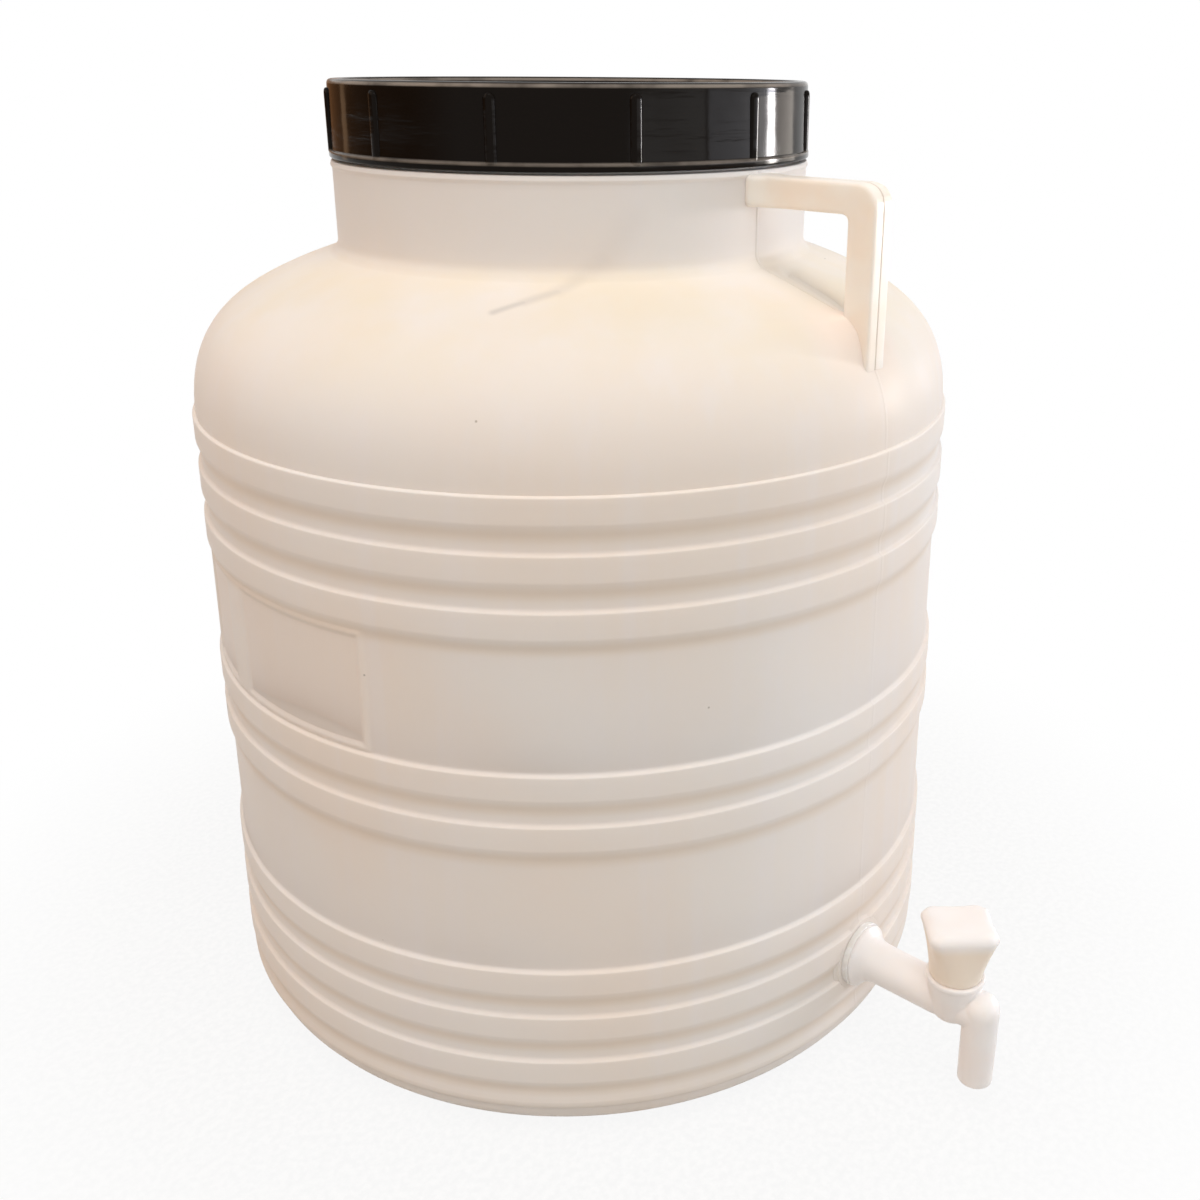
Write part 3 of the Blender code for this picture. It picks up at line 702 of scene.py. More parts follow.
def seal_normals(item: Piece, merge: float = 0.00001) -> Piece:
    """Merge doubled points and turn every face outwards.

    Args:
        item: A closed piece.
        merge: Distance within which points become one.

    Returns:
        The same piece.
    """
    bm = bmesh.new()
    bm.from_mesh(item.data)
    bmesh.ops.remove_doubles(bm, verts=bm.verts, dist=merge)
    bmesh.ops.dissolve_degenerate(bm, edges=bm.edges, dist=merge)
    bmesh.ops.recalc_face_normals(bm, faces=bm.faces)
    bm.to_mesh(item.data)
    bm.free()
    return item


def discard(*items: Piece) -> None:
    """Remove helper objects from the file."""
    for item in items:
        bpy.data.objects.remove(item, do_unlink=True)


def dress(item: Piece, material: Material, body: Body,
          nodes: Sequence[str] = (), crease: float | None = 35.0) -> Piece:
    """Give a finished piece its material, its body and the CAD nodes that it stands for.

    Args:
        item: The finished piece, its place in its mesh.
        material: Its finish.
        body: The body that carries it.
        nodes: CAD nodes that it replaces.
        crease: Degrees past which an edge stays sharp, or None for smooth all over.

    Returns:
        The same piece.
    """
    item.data.materials.clear()
    item.data.materials.append(material)
    item.data.shade_smooth()
    if crease is not None:
        item.data.set_sharp_from_angle(angle=math.radians(crease))
    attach(item, body.value)
    if nodes:
        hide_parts(*nodes)
    return item


class NodeRecipe:
    """A Geometry Nodes tree with named inputs, applied once to an object."""

    def __init__(self, name: str, sizes: dict[str, str]) -> None:
        """Start the tree.

        Args:
            name: The tree's name.
            sizes: Socket type of each named input, apart from the material's.
        """
        self.tree = bpy.data.node_groups.new(name, "GeometryNodeTree")
        face = self.tree.interface
        face.new_socket("Geometry", in_out="INPUT", socket_type="NodeSocketGeometry")
        self.keys = {
            label: face.new_socket(label, in_out="INPUT", socket_type=kind).identifier
            for label, kind in {**sizes, "Material": "NodeSocketMaterial"}.items()
        }
        face.new_socket("Geometry", in_out="OUTPUT", socket_type="NodeSocketGeometry")
        self.entry = add_node(self.tree, "NodeGroupInput")

    def size(self, label: str) -> Socket:
        """Return the socket of a named input."""
        return self.entry.outputs[label]

    def close(self, geometry: Node) -> None:
        """End the tree in Realize Instances and Set Material.

        Args:
            geometry: The node with the finished shape.
        """
        real = add_node(self.tree, "GeometryNodeRealizeInstances", {0: geometry})
        painted = add_node(self.tree, "GeometryNodeSetMaterial",
                           {"Geometry": real, "Material": self.size("Material")})
        add_node(self.tree, "NodeGroupOutput", {0: painted})

    def apply(self, name: str, values: dict[str, Any]) -> Piece:
        """Run the tree on an empty object and keep its result as a plain mesh.

        Args:
            name: The new object's name.
            values: Value of each named input.

        Returns:
            The object with a plain mesh.
        """
        item = link(name, bpy.data.meshes.new(name))
        modifier = item.modifiers.new("recipe", "NODES")
        modifier.node_group = self.tree
        for label, value in values.items():
            modifier[self.keys[label]] = value
        return bake(item)


class TurnedSurface(NodeRecipe):
    """Turns a profile of radius and height round Z, on meridians at chosen angles."""

    # Points closer than two thousandths of a millimetre become one, as at the axis
    merge = 0.000002

    def __init__(self) -> None:
        """Build the tree: a grid whose rows read the profile and columns the meridians."""
        super().__init__("turned_surface", {
            "Profile": "NodeSocketObject", "Meridians": "NodeSocketObject",
            "Rows": "NodeSocketInt", "Columns": "NodeSocketInt",
            "Merge": "NodeSocketFloat"})
        tree = self.tree
        grid = add_node(tree, "GeometryNodeMeshGrid",
                        {"Vertices X": self.size("Columns"), "Vertices Y": self.size("Rows")})
        index = add_node(tree, "GeometryNodeInputIndex")
        column = add_node(tree, "FunctionNodeIntegerMath",
                          {0: index, 1: self.size("Rows")},
                          operation="DIVIDE_FLOOR")
        row = add_node(tree, "FunctionNodeIntegerMath",
                       {0: index, 1: self.size("Rows")}, operation="FLOORED_MODULO")
        spot = self.read("Profile", row)
        turn = self.read("Meridians", column)
        radius = add_node(tree, "ShaderNodeSeparateXYZ", {0: spot})
        angle = add_node(tree, "ShaderNodeSeparateXYZ", {0: turn})
        sine = add_node(tree, "ShaderNodeMath", {0: angle}, operation="SINE")
        cosine = add_node(tree, "ShaderNodeMath", {0: angle}, operation="COSINE")
        across = add_node(tree, "ShaderNodeMath", {0: radius, 1: sine}, operation="MULTIPLY")
        along = add_node(tree, "ShaderNodeMath", {0: radius, 1: cosine}, operation="MULTIPLY")
        front = add_node(tree, "ShaderNodeMath", {0: along, 1: -1.0}, operation="MULTIPLY")
        place = add_node(tree, "ShaderNodeCombineXYZ", {0: across, 1: front, 2: radius.outputs[2]})
        marked = add_node(tree, "GeometryNodeStoreNamedAttribute",
                          {"Geometry": grid, "Name": "row", "Value": row},
                          data_type="INT", domain="POINT")
        moved = add_node(tree, "GeometryNodeSetPosition", {"Geometry": marked, "Position": place})
        joined = add_node(tree, "GeometryNodeMergeByDistance",
                          {"Geometry": moved, "Distance": self.size("Merge")})
        self.close(joined)

    def read(self, label: str, index: Node) -> Node:
        """Read the position of one point of an input object.

        Args:
            label: The object's input.
            index: Number of the point.

        Returns:
            The node with its position.
        """
        source = add_node(self.tree, "GeometryNodeObjectInfo", {"Object": self.size(label)})
        where = add_node(self.tree, "GeometryNodeInputPosition")
        sample = add_node(self.tree, "GeometryNodeSampleIndex",
                          {"Geometry": source.outputs["Geometry"], "Value": where,
                           "Index": index}, data_type="FLOAT_VECTOR", domain="POINT")
        return sample

    def make(self, name: str, profile: Sequence[Point], meridians: Sequence[float],
             material: Material, closed: bool = False) -> Piece:
        """Turn a profile into a closed piece.

        Args:
            name: The piece's name.
            profile: Radius and height of each point.
            meridians: Angles from the front, the last one closing on the first.
            material: Its finish.
            closed: Whether the profile is a loop that stays off the axis.

        Returns:
            The piece, its faces turned outwards.
        """
        spots = list(profile) + ([profile[0]] if closed else [])
        path = plain_mesh("profile", [(r, 0.0, z) for r, z in spots], [])
        turns = plain_mesh("meridians", [(a, 0.0, 0.0) for a in meridians], [])
        item = self.apply(name, {"Profile": path, "Meridians": turns, "Rows": len(spots),
                                 "Columns": len(meridians), "Merge": self.merge,
                                 "Material": material})
        discard(path, turns)
        return seal_normals(item, self.merge)


class ScrewThread(NodeRecipe):
    """Sweeps a blunt section along a helix, thinning to nothing at both ends."""

    def __init__(self) -> None:
        """Build the tree from a spiral, a trapezoid section and an end taper."""
        super().__init__("screw_thread", {
            "Turns": "NodeSocketFloat", "Radius": "NodeSocketFloat",
            "Rise": "NodeSocketFloat", "Depth": "NodeSocketFloat",
            "Foot": "NodeSocketFloat", "Crest": "NodeSocketFloat",
            "Steps": "NodeSocketInt"})
        tree = self.tree
        helix = add_node(tree, "GeometryNodeCurveSpiral",
                         {"Resolution": self.size("Steps"), "Rotations": self.size("Turns"),
                          "Start Radius": self.size("Radius"), "End Radius": self.size("Radius"),
                          "Height": self.size("Rise"), "Reverse": True})
        factor = add_node(tree, "GeometryNodeSplineParameter").outputs["Factor"]
        other = add_node(tree, "ShaderNodeMath", {0: 1.0, 1: factor}, operation="SUBTRACT")
        near = add_node(tree, "ShaderNodeMath", {0: factor, 1: other}, operation="MINIMUM")
        taper = add_node(tree, "ShaderNodeMapRange", {0: near, 2: 0.06, 3: 0.05},
                         interpolation_type="SMOOTHSTEP")
        thinned = add_node(tree, "GeometryNodeSetCurveRadius", {"Curve": helix, "Radius": taper})
        upright = add_node(tree, "GeometryNodeSetCurveNormal", {"Curve": thinned}, mode="Z_UP")
        section = add_node(tree, "GeometryNodeCurvePrimitiveQuadrilateral",
                           {"Height": self.size("Depth"), "Bottom Width": self.size("Foot"),
                            "Top Width": self.size("Crest"), "Offset": 0.0}, mode="TRAPEZOID")
        swept = add_node(tree, "GeometryNodeCurveToMesh",
                         {"Curve": upright, "Profile Curve": section,
                          "Fill Caps": True})
        self.close(swept)

    def make(self, name: str, values: dict[str, float], steps: int, low: float,
             material: Material) -> Piece:
        """Make one thread.

        Args:
            name: The piece's name.
            values: Turns, Radius, Rise, Depth, Foot and Crest.
            steps: Points to a turn.
            low: Height where the thread starts.
            material: Its finish.

        Returns:
            The thread, standing on the Z axis.
        """
        item = self.apply(name, {**values, "Steps": steps, "Material": material})
        item.data.transform(Matrix.Translation((0.0, 0.0, low)))
        return seal_normals(item)


class RibRing(NodeRecipe):
    """Sets copies of one rib upright round a circle, each facing outwards."""

    def __init__(self) -> None:
        """Build the tree from a circle of points and one instanced rib."""
        super().__init__("rib_ring", {
            "Rib": "NodeSocketObject", "Count": "NodeSocketInt", "Radius": "NodeSocketFloat",
            "Turn": "NodeSocketFloat"})
        tree = self.tree
        index = add_node(tree, "GeometryNodeInputIndex")
        step = add_node(tree, "ShaderNodeMath", {0: 2 * math.pi, 1: self.size("Count")},
                        operation="DIVIDE")
        angle = add_node(tree, "ShaderNodeMath",
                         {0: index, 1: step, 2: self.size("Turn")},
                         operation="MULTIPLY_ADD")
        sine = add_node(tree, "ShaderNodeMath", {0: angle}, operation="SINE")
        cosine = add_node(tree, "ShaderNodeMath", {0: angle}, operation="COSINE")
        heading = add_node(tree, "ShaderNodeCombineXYZ", {0: sine, 1: cosine})
        mirror = add_node(tree, "ShaderNodeVectorMath",
                          {0: heading, 1: (1.0, -1.0, 1.0)}, operation="MULTIPLY")
        place = add_node(tree, "ShaderNodeVectorMath",
                         {0: mirror, "Scale": self.size("Radius")},
                         operation="SCALE")
        spots = add_node(tree, "GeometryNodePoints",
                         {"Count": self.size("Count"), "Position": place})
        turned = add_node(tree, "ShaderNodeCombineXYZ", {2: angle})
        source = add_node(tree, "GeometryNodeObjectInfo", {"Object": self.size("Rib")})
        copies = add_node(tree, "GeometryNodeInstanceOnPoints",
                          {"Points": spots, "Instance": source.outputs["Geometry"],
                           "Rotation": turned})
        self.close(copies)


def lay_front(height: float) -> Matrix:
    """Turn that lays a piece built along Z outwards along -Y, at a height."""
    return Matrix.Translation((0.0, 0.0, height)) @ Matrix.Rotation(math.pi / 2, 4, "X")


def boolean(target: Piece, tool: Piece, operation: str) -> None:
    """Apply one Boolean to the target and drop the tool.

    Args:
        target: The piece that changes.
        tool: The solid that is joined to it, cut from it or kept of it.
        operation: UNION, DIFFERENCE or INTERSECT.
    """
    modifier = target.modifiers.new("combine", "BOOLEAN")
    modifier.operation = operation
    modifier.solver = "EXACT"
    modifier.object = tool
    bake(target)
    discard(tool)


def melted(item: Piece, voxel: float, passes: int) -> Piece:
    """Blend a piece's joints into moulded fillets.

    Args:
        item: A closed piece with sharp joints.
        voxel: Grid size of the new skin.
        passes: Smoothing passes; more make wider fillets.

    Returns:
        The same piece with an even, smooth skin.
    """
    remesh = item.modifiers.new("skin", "REMESH")
    remesh.mode = "VOXEL"
    remesh.voxel_size = voxel
    smooth = item.modifiers.new("fillet", "SMOOTH")
    smooth.factor = 0.5
    smooth.iterations = passes
    return bake(item)


def prism(name: str, outline: Sequence[Point], low: float, high: float,
          place: Callable[[float, float, float], Place]) -> Piece:
    """Extrude an outline into a closed solid.

    Args:
        name: The object's name.
        outline: Flat outline.
        low: Start of the extrusion.
        high: End of the extrusion.
        place: Maps outline and depth to a point.

    Returns:
        The solid.
    """
    count = len(outline)
    verts = [place(a, b, low) for a, b in outline] + [place(a, b, high) for a, b in outline]
    faces: list[Sequence[int]] = [list(range(count)), list(range(2 * count - 1, count - 1, -1))]
    faces += [(i, (i + 1) % count, count + (i + 1) % count, count + i) for i in range(count)]
    return seal_normals(plain_mesh(name, verts, faces))


def loft(name: str, rings: Sequence[Sequence[Place]]) -> Piece:
    """Skin a stack of rings into a closed solid.

    Args:
        name: The object's name.
        rings: The rings, from one end to the other, all with the same number of points.

    Returns:
        The solid.
    """
    size = len(rings[0])
    faces: list[Sequence[int]] = []
    for low in range(0, size * (len(rings) - 1), size):
        for step in range(size):
            after = (step + 1) % size
            faces.append((low + step, low + after, low + size + after, low + size + step))
    last = size * (len(rings) - 1)
    faces += [list(range(size))[::-1], [last + step for step in range(size)]]
    return seal_normals(plain_mesh(name, (spot for ring in rings for spot in ring), faces))


def rounded_edges(item: Piece, radius: float, segments: int = 4, limit: float = 50.0) -> Piece:
    """Round the sharp edges of a piece.

    Args:
        item: The piece.
        radius: Radius of the rounding.
        segments: Steps across it.
        limit: Degrees past which an edge is sharp.

    Returns:
        The same piece.
    """
    bevel = item.modifiers.new("edges", "BEVEL")
    bevel.width = radius
    bevel.segments = segments
    bevel.limit_method = "ANGLE"
    bevel.angle_limit = math.radians(limit)
    return bake(item)


@dataclass
class DrumShell:
    """The blow-moulded shell: bands, panels, shoulder, neck, tap pad and marking fields."""

    turned: TurnedSurface
    thread: ScrewThread
    finish: BlownPolyethylene
    crest: float = 0.2140
    taper: float = 0.0022
    wall: float = 0.0025
    relief: float = 0.0022
    band_width: float = 0.0128
    band_pitch: float = 0.0272
    group_pitch: float = 0.0700
    lowest_band: float = 0.0358
    groups: tuple[int, ...] = (3, 2, 3)
    band_top: float = 0.3502
    foot_lip: float = 0.0225
    base_radius: float = 0.0180
    ring_width: float = 0.0100
    push_up: float = 0.0030
    neck: float = 0.1286
    neck_foot: float = 0.4299
    neck_top: float = 0.4774
    finish_radius: float = 0.1234
    rim: float = 0.5106
    tap_height: float = 0.0575
    pad_radius: float = 0.0205
    pad_face: float = 0.2130
    pad_back: float = 0.2080
    field_depth: float = 0.0004
    plate_height: float = 0.0008
    plate_edge: float = 0.0036
    field_low: float = 0.2180
    field_high: float = 0.2745
    fields: tuple[tuple[float, float], ...] = ((-99.8, -75.0), (-116.2, -105.0))
    lead: float = 0.0120
    # The pinch-off crest, its valley and the handle's foot on the shoulder, at radii
    crest_rise: float = 0.0050
    crest_start: float = 0.1346
    crest_peak: float = 0.1866
    crest_end: float = 0.2008
    valley_depth: float = 0.0034
    fillet_rise: float = 0.0034
    # Long shallow waves that a blown wall keeps from its cooling, and where they die out
    wall_wave: float = 0.00012
    shoulder_wave: float = 0.00018
    seam_level: float = 0.3532
    # Degrees between plain meridians, and the greatest sharp angle that is shaded smooth
    wall_step: float = 1.9
    shoulder_step: float = 1.8
    crease: float = 50.0

    def crest_at(self, height: Any) -> Any:
        """Radius of the band crests at a height, or at each of an array of heights."""
        share = (height - self.lowest_band) / (self.band_top - self.lowest_band)
        return self.crest - self.taper * share

    def bands(self) -> list[Point]:
        """List the bands from the base upwards.

        Returns:
            Low edge and high edge of each band.
        """
        made = []
        low = self.lowest_band
        for count in self.groups:
            for _ in range(count):
                made.append((low, low + self.band_width))
                low += self.band_pitch
            low += self.group_pitch + self.band_width - self.band_pitch
        return made

    def outside(self) -> list[Corner]:
        """Lay out the outer profile from the base panel's centre to the top band.

        Returns:
            Radius, height and rounding of each corner.
        """
        foot = self.crest_at(0.0) - self.relief / 2
        ring_out = foot - self.base_radius
        ring_in = ring_out - self.ring_width
        corners: list[Corner] = [
            (0.0, self.push_up, 0.0), (ring_in - 0.008, self.push_up, 0.006),
            (ring_in, 0.0, 0.004), (ring_out + 0.002, 0.0, 0.003),
            (foot, self.base_radius + 0.002, 0.016), (foot, self.foot_lip, 0.001)]
        low_flank, high_flank = 0.0060, 0.0010
        for low, high in self.bands():
            inner = self.crest_at(low) - self.relief
            corners += [(inner, low - low_flank, 0.006), (self.crest_at(low), low, 0.0045),
                        (self.crest_at(high), high, 0.0011),
                        (self.crest_at(high) - self.relief, high + high_flank, 0.0018)]
        # The top band's step runs on under the shoulder's skin
        last = self.crest_at(self.band_top)
        corners[-1] = (last - 0.0040, self.band_top + 0.0012, 0.0)
        return corners

    def dome(self, steps: int) -> list[Point]:
        """Draw the shoulder from the neck's foot down to the top band.

        Args:
            steps: Number of steps.

        Returns:
            Its points.
        """
        top = (self.neck + 0.004, self.neck_foot)
        low = (self.crest_at(self.band_top + 0.003) - 0.0018, self.band_top + 0.003)
        out = (top[0] + 0.0498, top[1] - 0.0498 * math.tan(math.radians(17.4)))
        return bezier(top, out, (low[0], low[1] + 0.0428), low, steps)

    def wall_profile(self) -> tuple[list[Point], int]:
        """Draw the base and the wall, inside and outside.

        Returns:
            The profile, and the number of its points that lie outside.
        """
        outer = rounded_path(self.outside(), 0.0048, 20.0)
        fine: list[Point] = [outer[0]]
        for here, after in zip(outer, outer[1:]):
            middle = (here[1] + after[1]) / 2
            edge = min(abs(middle - self.field_low), abs(middle - self.field_high)) < 0.0065
            steps = math.ceil(math.dist(here, after) / 0.0007) if edge and here[0] > 0.2 else 1
            fine += [(here[0] + (after[0] - here[0]) * step / steps,
                      here[1] + (after[1] - here[1]) * step / steps)
                     for step in range(1, steps + 1)]
        outer = fine
        inner: list[Point] = [(outer[-1][0] - 0.0003, outer[-1][1])]
        for low, high in reversed(self.bands()):
            inner += [(self.crest_at(high) - self.wall, high - 0.0025),
                      (self.crest_at(low) - self.wall, low + 0.0025),
                      (self.crest_at(low) - self.wall - self.relief, low - 0.0065)]
        foot = self.crest_at(0.0) - self.relief / 2
        ring_out = foot - self.base_radius
        turn = [math.pi / 2 * step / 4 for step in range(5)]
        inner += [(ring_out + (self.base_radius - self.wall) * math.cos(a),
                   self.base_radius - (self.base_radius - self.wall) * math.sin(a))
                  for a in turn]
        inner += [(ring_out - self.ring_width, self.wall),
                  (ring_out - self.ring_width - 0.008, self.push_up + self.wall),
                  (0.0, self.push_up + self.wall)]
        return outer + inner, len(outer)

    def shoulder_profile(self) -> tuple[list[Point], int]:
        """Draw the closed profile of shoulder and neck.

        Returns:
            The profile, and the number of its points that lie outside.
        """
        foot = self.dome(8)[-1][0]
        dome = [(foot, self.band_top - 0.0004)] + list(reversed(self.dome(84)))
        mouth = self.finish_radius - self.wall
        upper: list[Corner] = [
            (*dome[-1], 0.0), (self.neck, self.neck_foot + 0.0045, 0.006),
            (self.neck, self.neck_top - 0.0040, 0.002),
            (self.neck + 0.0009, self.neck_top - 0.0022, 0.001),
            (self.neck + 0.0003, self.neck_top, 0.0008),
            (self.finish_radius, self.neck_top + 0.0004, 0.001),
            (self.finish_radius, self.rim, 0.0008), (mouth, self.rim, 0.0008),
            (mouth, self.neck_top, 0.0)]
        outer = dome[:-1] + rounded_path(upper, 0.003, 20.0)
        inner: list[Point] = [(self.neck - self.wall, self.neck_top - 0.0075),
                              (self.neck - self.wall, self.neck_foot)]
        curve = self.dome(12)
        for before, here, after in zip(curve, curve[1:], curve[2:]):
            along = (after[0] - before[0], after[1] - before[1])
            size = math.hypot(*along)
            inner.append((here[0] + self.wall * along[1] / size,
                          here[1] - self.wall * along[0] / size))
        inner += [(foot - self.wall, curve[-1][1]), (foot - self.wall, self.band_top - 0.0004)]
        return outer + inner, len(outer)

    def meridians(self, coarse: float, fine: Sequence[Corner]) -> list[float]:
        """Angles of the meridians, close together where the shell has fine relief.

        Args:
            coarse: Degrees between plain meridians.
            fine: Centre, reach and step of each close stretch, in degrees.

        Returns:
            The angles from the front, the last one closing on the first.
        """
        angles = [-180.0]
        while angles[-1] < 180.0:
            here = angles[-1]
            step = coarse
            for centre, reach, small in fine:
                away = abs((here - centre + 180.0) % 360.0 - 180.0)
                if away < reach:
                    step = min(step, small)
                elif away < reach + coarse:
                    step = min(step, small + (away - reach))
            angles.append(here + step)
        angles[-1] = 180.0
        return [math.radians(angle) for angle in angles]

    def read(self, mesh: Mesh, outside_rows: int) -> tuple[np.ndarray, ...]:
        """Read the points, unit normals and outside flags of a turned shell.

        Args:
            mesh: The turned mesh.
            outside_rows: Number of profile points that lie outside.

        Returns:
            Points, normals and flags.
        """
        count = len(mesh.vertices)
        spots, normals = np.empty(count * 3), np.empty(count * 3)
        mesh.vertices.foreach_get("co", spots)
        mesh.vertex_normals.foreach_get("vector", normals)
        rows = np.zeros(count, dtype=np.int32)
        mesh.attributes["row"].data.foreach_get("value", rows)
        return spots.reshape(-1, 3), normals.reshape(-1, 3), rows < outside_rows

    def write(self, mesh: Mesh, spots: np.ndarray) -> None:
        """Put moved points back into the mesh."""
        mesh.vertices.foreach_set("co", spots.astype(np.float32).ravel())
        mesh.update()

    def relieve_wall(self, mesh: Mesh, outside_rows: int) -> None:
        """Press the marking fields and the tap's pad into the wall.

        Args:
            mesh: The turned wall.
            outside_rows: Number of profile points that lie outside.
        """
        spots, _, outer = self.read(mesh, outside_rows)
        radius = np.hypot(spots[:, 0], spots[:, 1])
        angle = np.arctan2(spots[:, 0], -spots[:, 1])
        height = spots[:, 2].copy()
        wave = (np.sin(3 * angle + 9 * height) * np.sin(31 * height + 1.0)
                + 0.7 * np.sin(7 * angle - 21 * height + 2.0)
                + 0.5 * np.sin(13 * angle + 47 * height + 0.5))
        # No wave passes 2.2, so that they all go inwards
        calm = portion(self.seam_level - height, 0.03)
        push = np.where(outer & (height > 0.02), self.wall_wave * (wave - 2.2) * calm, 0.0)
        panel = outer & (radius > 0.2)

        def inside(low: float, high: float, grow: float) -> np.ndarray:
            """Tell how far each point lies inside a rectangle on the wall.

            Args:
                low: Degrees from the front to one side.
                high: Degrees from the front to the other.
                grow: Margin round it.

            Returns:
                One inside, falling softly to zero outside.
            """
            side = np.minimum(angle - math.radians(low), math.radians(high) - angle) * radius
            end = np.minimum(height - self.field_low, self.field_high - height)
            depth = np.clip((np.minimum(side, end) + grow) / 0.0030 + 0.5, 0.0, 1.0)
            return depth * depth * (3 - 2 * depth)

        plate = inside(self.fields[1][0], self.fields[0][1], self.plate_edge)
        sunk = np.maximum(inside(*self.fields[0], 0.0), inside(*self.fields[1], 0.0))
        level = self.crest_at(height) - self.relief
        proud = plate * (self.plate_height - sunk * (self.plate_height + self.field_depth))
        push += np.where(panel & (plate > 0), np.maximum(
            level + proud, np.where(sunk > 0, 0.0, radius)) - radius, 0.0) * plate
        scale = np.where(radius > 1e-6, (radius + push) / np.maximum(radius, 1e-6), 1.0)
        spots[:, 0] *= scale
        spots[:, 1] *= scale
        # The wall lies behind the pad's own disc, and is flat inside for the nut
        away = np.hypot(spots[:, 0], height - self.tap_height)
        front = spots[:, 1] < -0.15
        near = portion(self.pad_radius - 0.0004 - away, 0.0020)
        spots[:, 1] += np.where(outer & front, near, 0.0) * (-self.pad_face + 0.0012 - spots[:, 1])
        back = portion(self.pad_radius + 0.0055 - away, 0.0030)
        spots[:, 1] += np.where(~outer & front, back, 0.0) * (-self.pad_back - spots[:, 1])
        self.write(mesh, spots)
        self.paint(mesh, spots, outer, 0.3 * sunk)

    def relieve_shoulder(self, mesh: Mesh, outside_rows: int) -> None:
        """Raise the pinch-off crest and the handle's foot out of the shoulder.

        Args:
            mesh: The turned shoulder.
            outside_rows: Number of profile points that lie outside.
        """
        spots, normals, outer = self.read(mesh, outside_rows)
        reach = np.hypot(spots[:, 0], spots[:, 1])
        angle = np.arctan2(spots[:, 0], -spots[:, 1])
        height = spots[:, 2]
        across = spots[:, 0] * -np.sign(spots[:, 1])
        near, far = np.maximum(-across, 0.0), np.maximum(across, 0.0)
        spread = np.minimum(near / 0.045, 1.6)
        # The crest climbs slowly from the neck and drops fast to the shoulder's edge, with a
        # wide flank on one side and a steep one on the other
        peak, end = self.crest_peak - 0.012 * spread, self.crest_end - 0.010 * spread
        up = portion(reach - self.crest_start, peak - self.crest_start) ** 2.2
        down = 1.0 - portion(reach - peak, end - peak) ** 1.7
        flanks = np.exp(-(near / 0.040) ** 2 - (far / 0.0085) ** 2)
        pulled = self.crest_rise * up * down * flanks
        # Beside the steep flank runs a valley, and the handle's foot has a fillet
        run = portion(reach - 0.1340, 0.008) * portion(0.1985 - reach, 0.012)
        valley = -self.valley_depth * run * np.exp(-((across - 0.0150) / 0.0065) ** 2)
        beside = np.clip(1.0 - np.maximum(near - 0.0074, 0.0) / 0.0125, 0.0, 1.0) ** 2
        foot = portion(reach - 0.176, 0.008) * portion(0.2004 - reach, 0.010)
        fillet = self.fillet_rise * beside * (near > 0) * foot
        zone = outer & (height > 0.3560) & (height < 0.4365) & (np.abs(across) < 0.09)
        lift = np.where(zone, pulled + valley + fillet, 0.0)
        wave = (np.sin(5 * angle + 40 * reach) + 0.6 * np.sin(11 * angle - 90 * reach + 1.0)
                + 0.8 * np.sin(130 * reach + 2.0))
        calm = portion(height - self.seam_level, 0.02) * portion(0.4300 - height, 0.01)
        lift = lift + np.where(outer, self.shoulder_wave * wave * calm, 0.0)
        spots += normals * lift[:, None]
        self.write(mesh, spots)
        # Round the handle's foot the shell is painted warmer, as painted shade on the slope there
        # and as a blend into the handle's own colour
        beyond = np.maximum(np.abs(across) - 0.0085, 0.0)
        foot_tint = 1.0 - np.hypot(beyond / 0.030, (reach - 0.190) / 0.024)
        self.paint(mesh, spots, outer, np.clip(foot_tint, 0.0, 1.0))

    def paint(self, mesh: Mesh, spots: np.ndarray, outer: np.ndarray, flare: np.ndarray) -> None:
        """Store how much painted shade the grooves get and how strongly the shell is tinted warm.

        Args:
            mesh: The turned mesh.
            spots: Its points.
            outer: Which of them lie outside.
            flare: How strongly each of them is tinted warm, 0 to 1.
        """
        radius = np.hypot(spots[:, 0], spots[:, 1])
        height = spots[:, 2]
        soil_and_shade = np.zeros(len(spots))
        # Painted shade in the groove under each band's crest
        for low, _ in self.bands():
            soil_and_shade = np.maximum(soil_and_shade, np.exp(-((height - (low - 0.0055)) / 0.0035) ** 2))
        # Darker towards the bottom
        soil_and_shade = np.maximum(soil_and_shade, 0.6 * portion(0.034 - height, 0.02))
        soil_and_shade *= outer & (radius > 0.19)
        for label, values in (("groove", soil_and_shade), ("flare", flare * outer)):
            store = mesh.attributes.new(label, "FLOAT", "POINT")
            store.data.foreach_set("value", values.astype(np.float32))
        mesh.attributes.remove(mesh.attributes["row"])

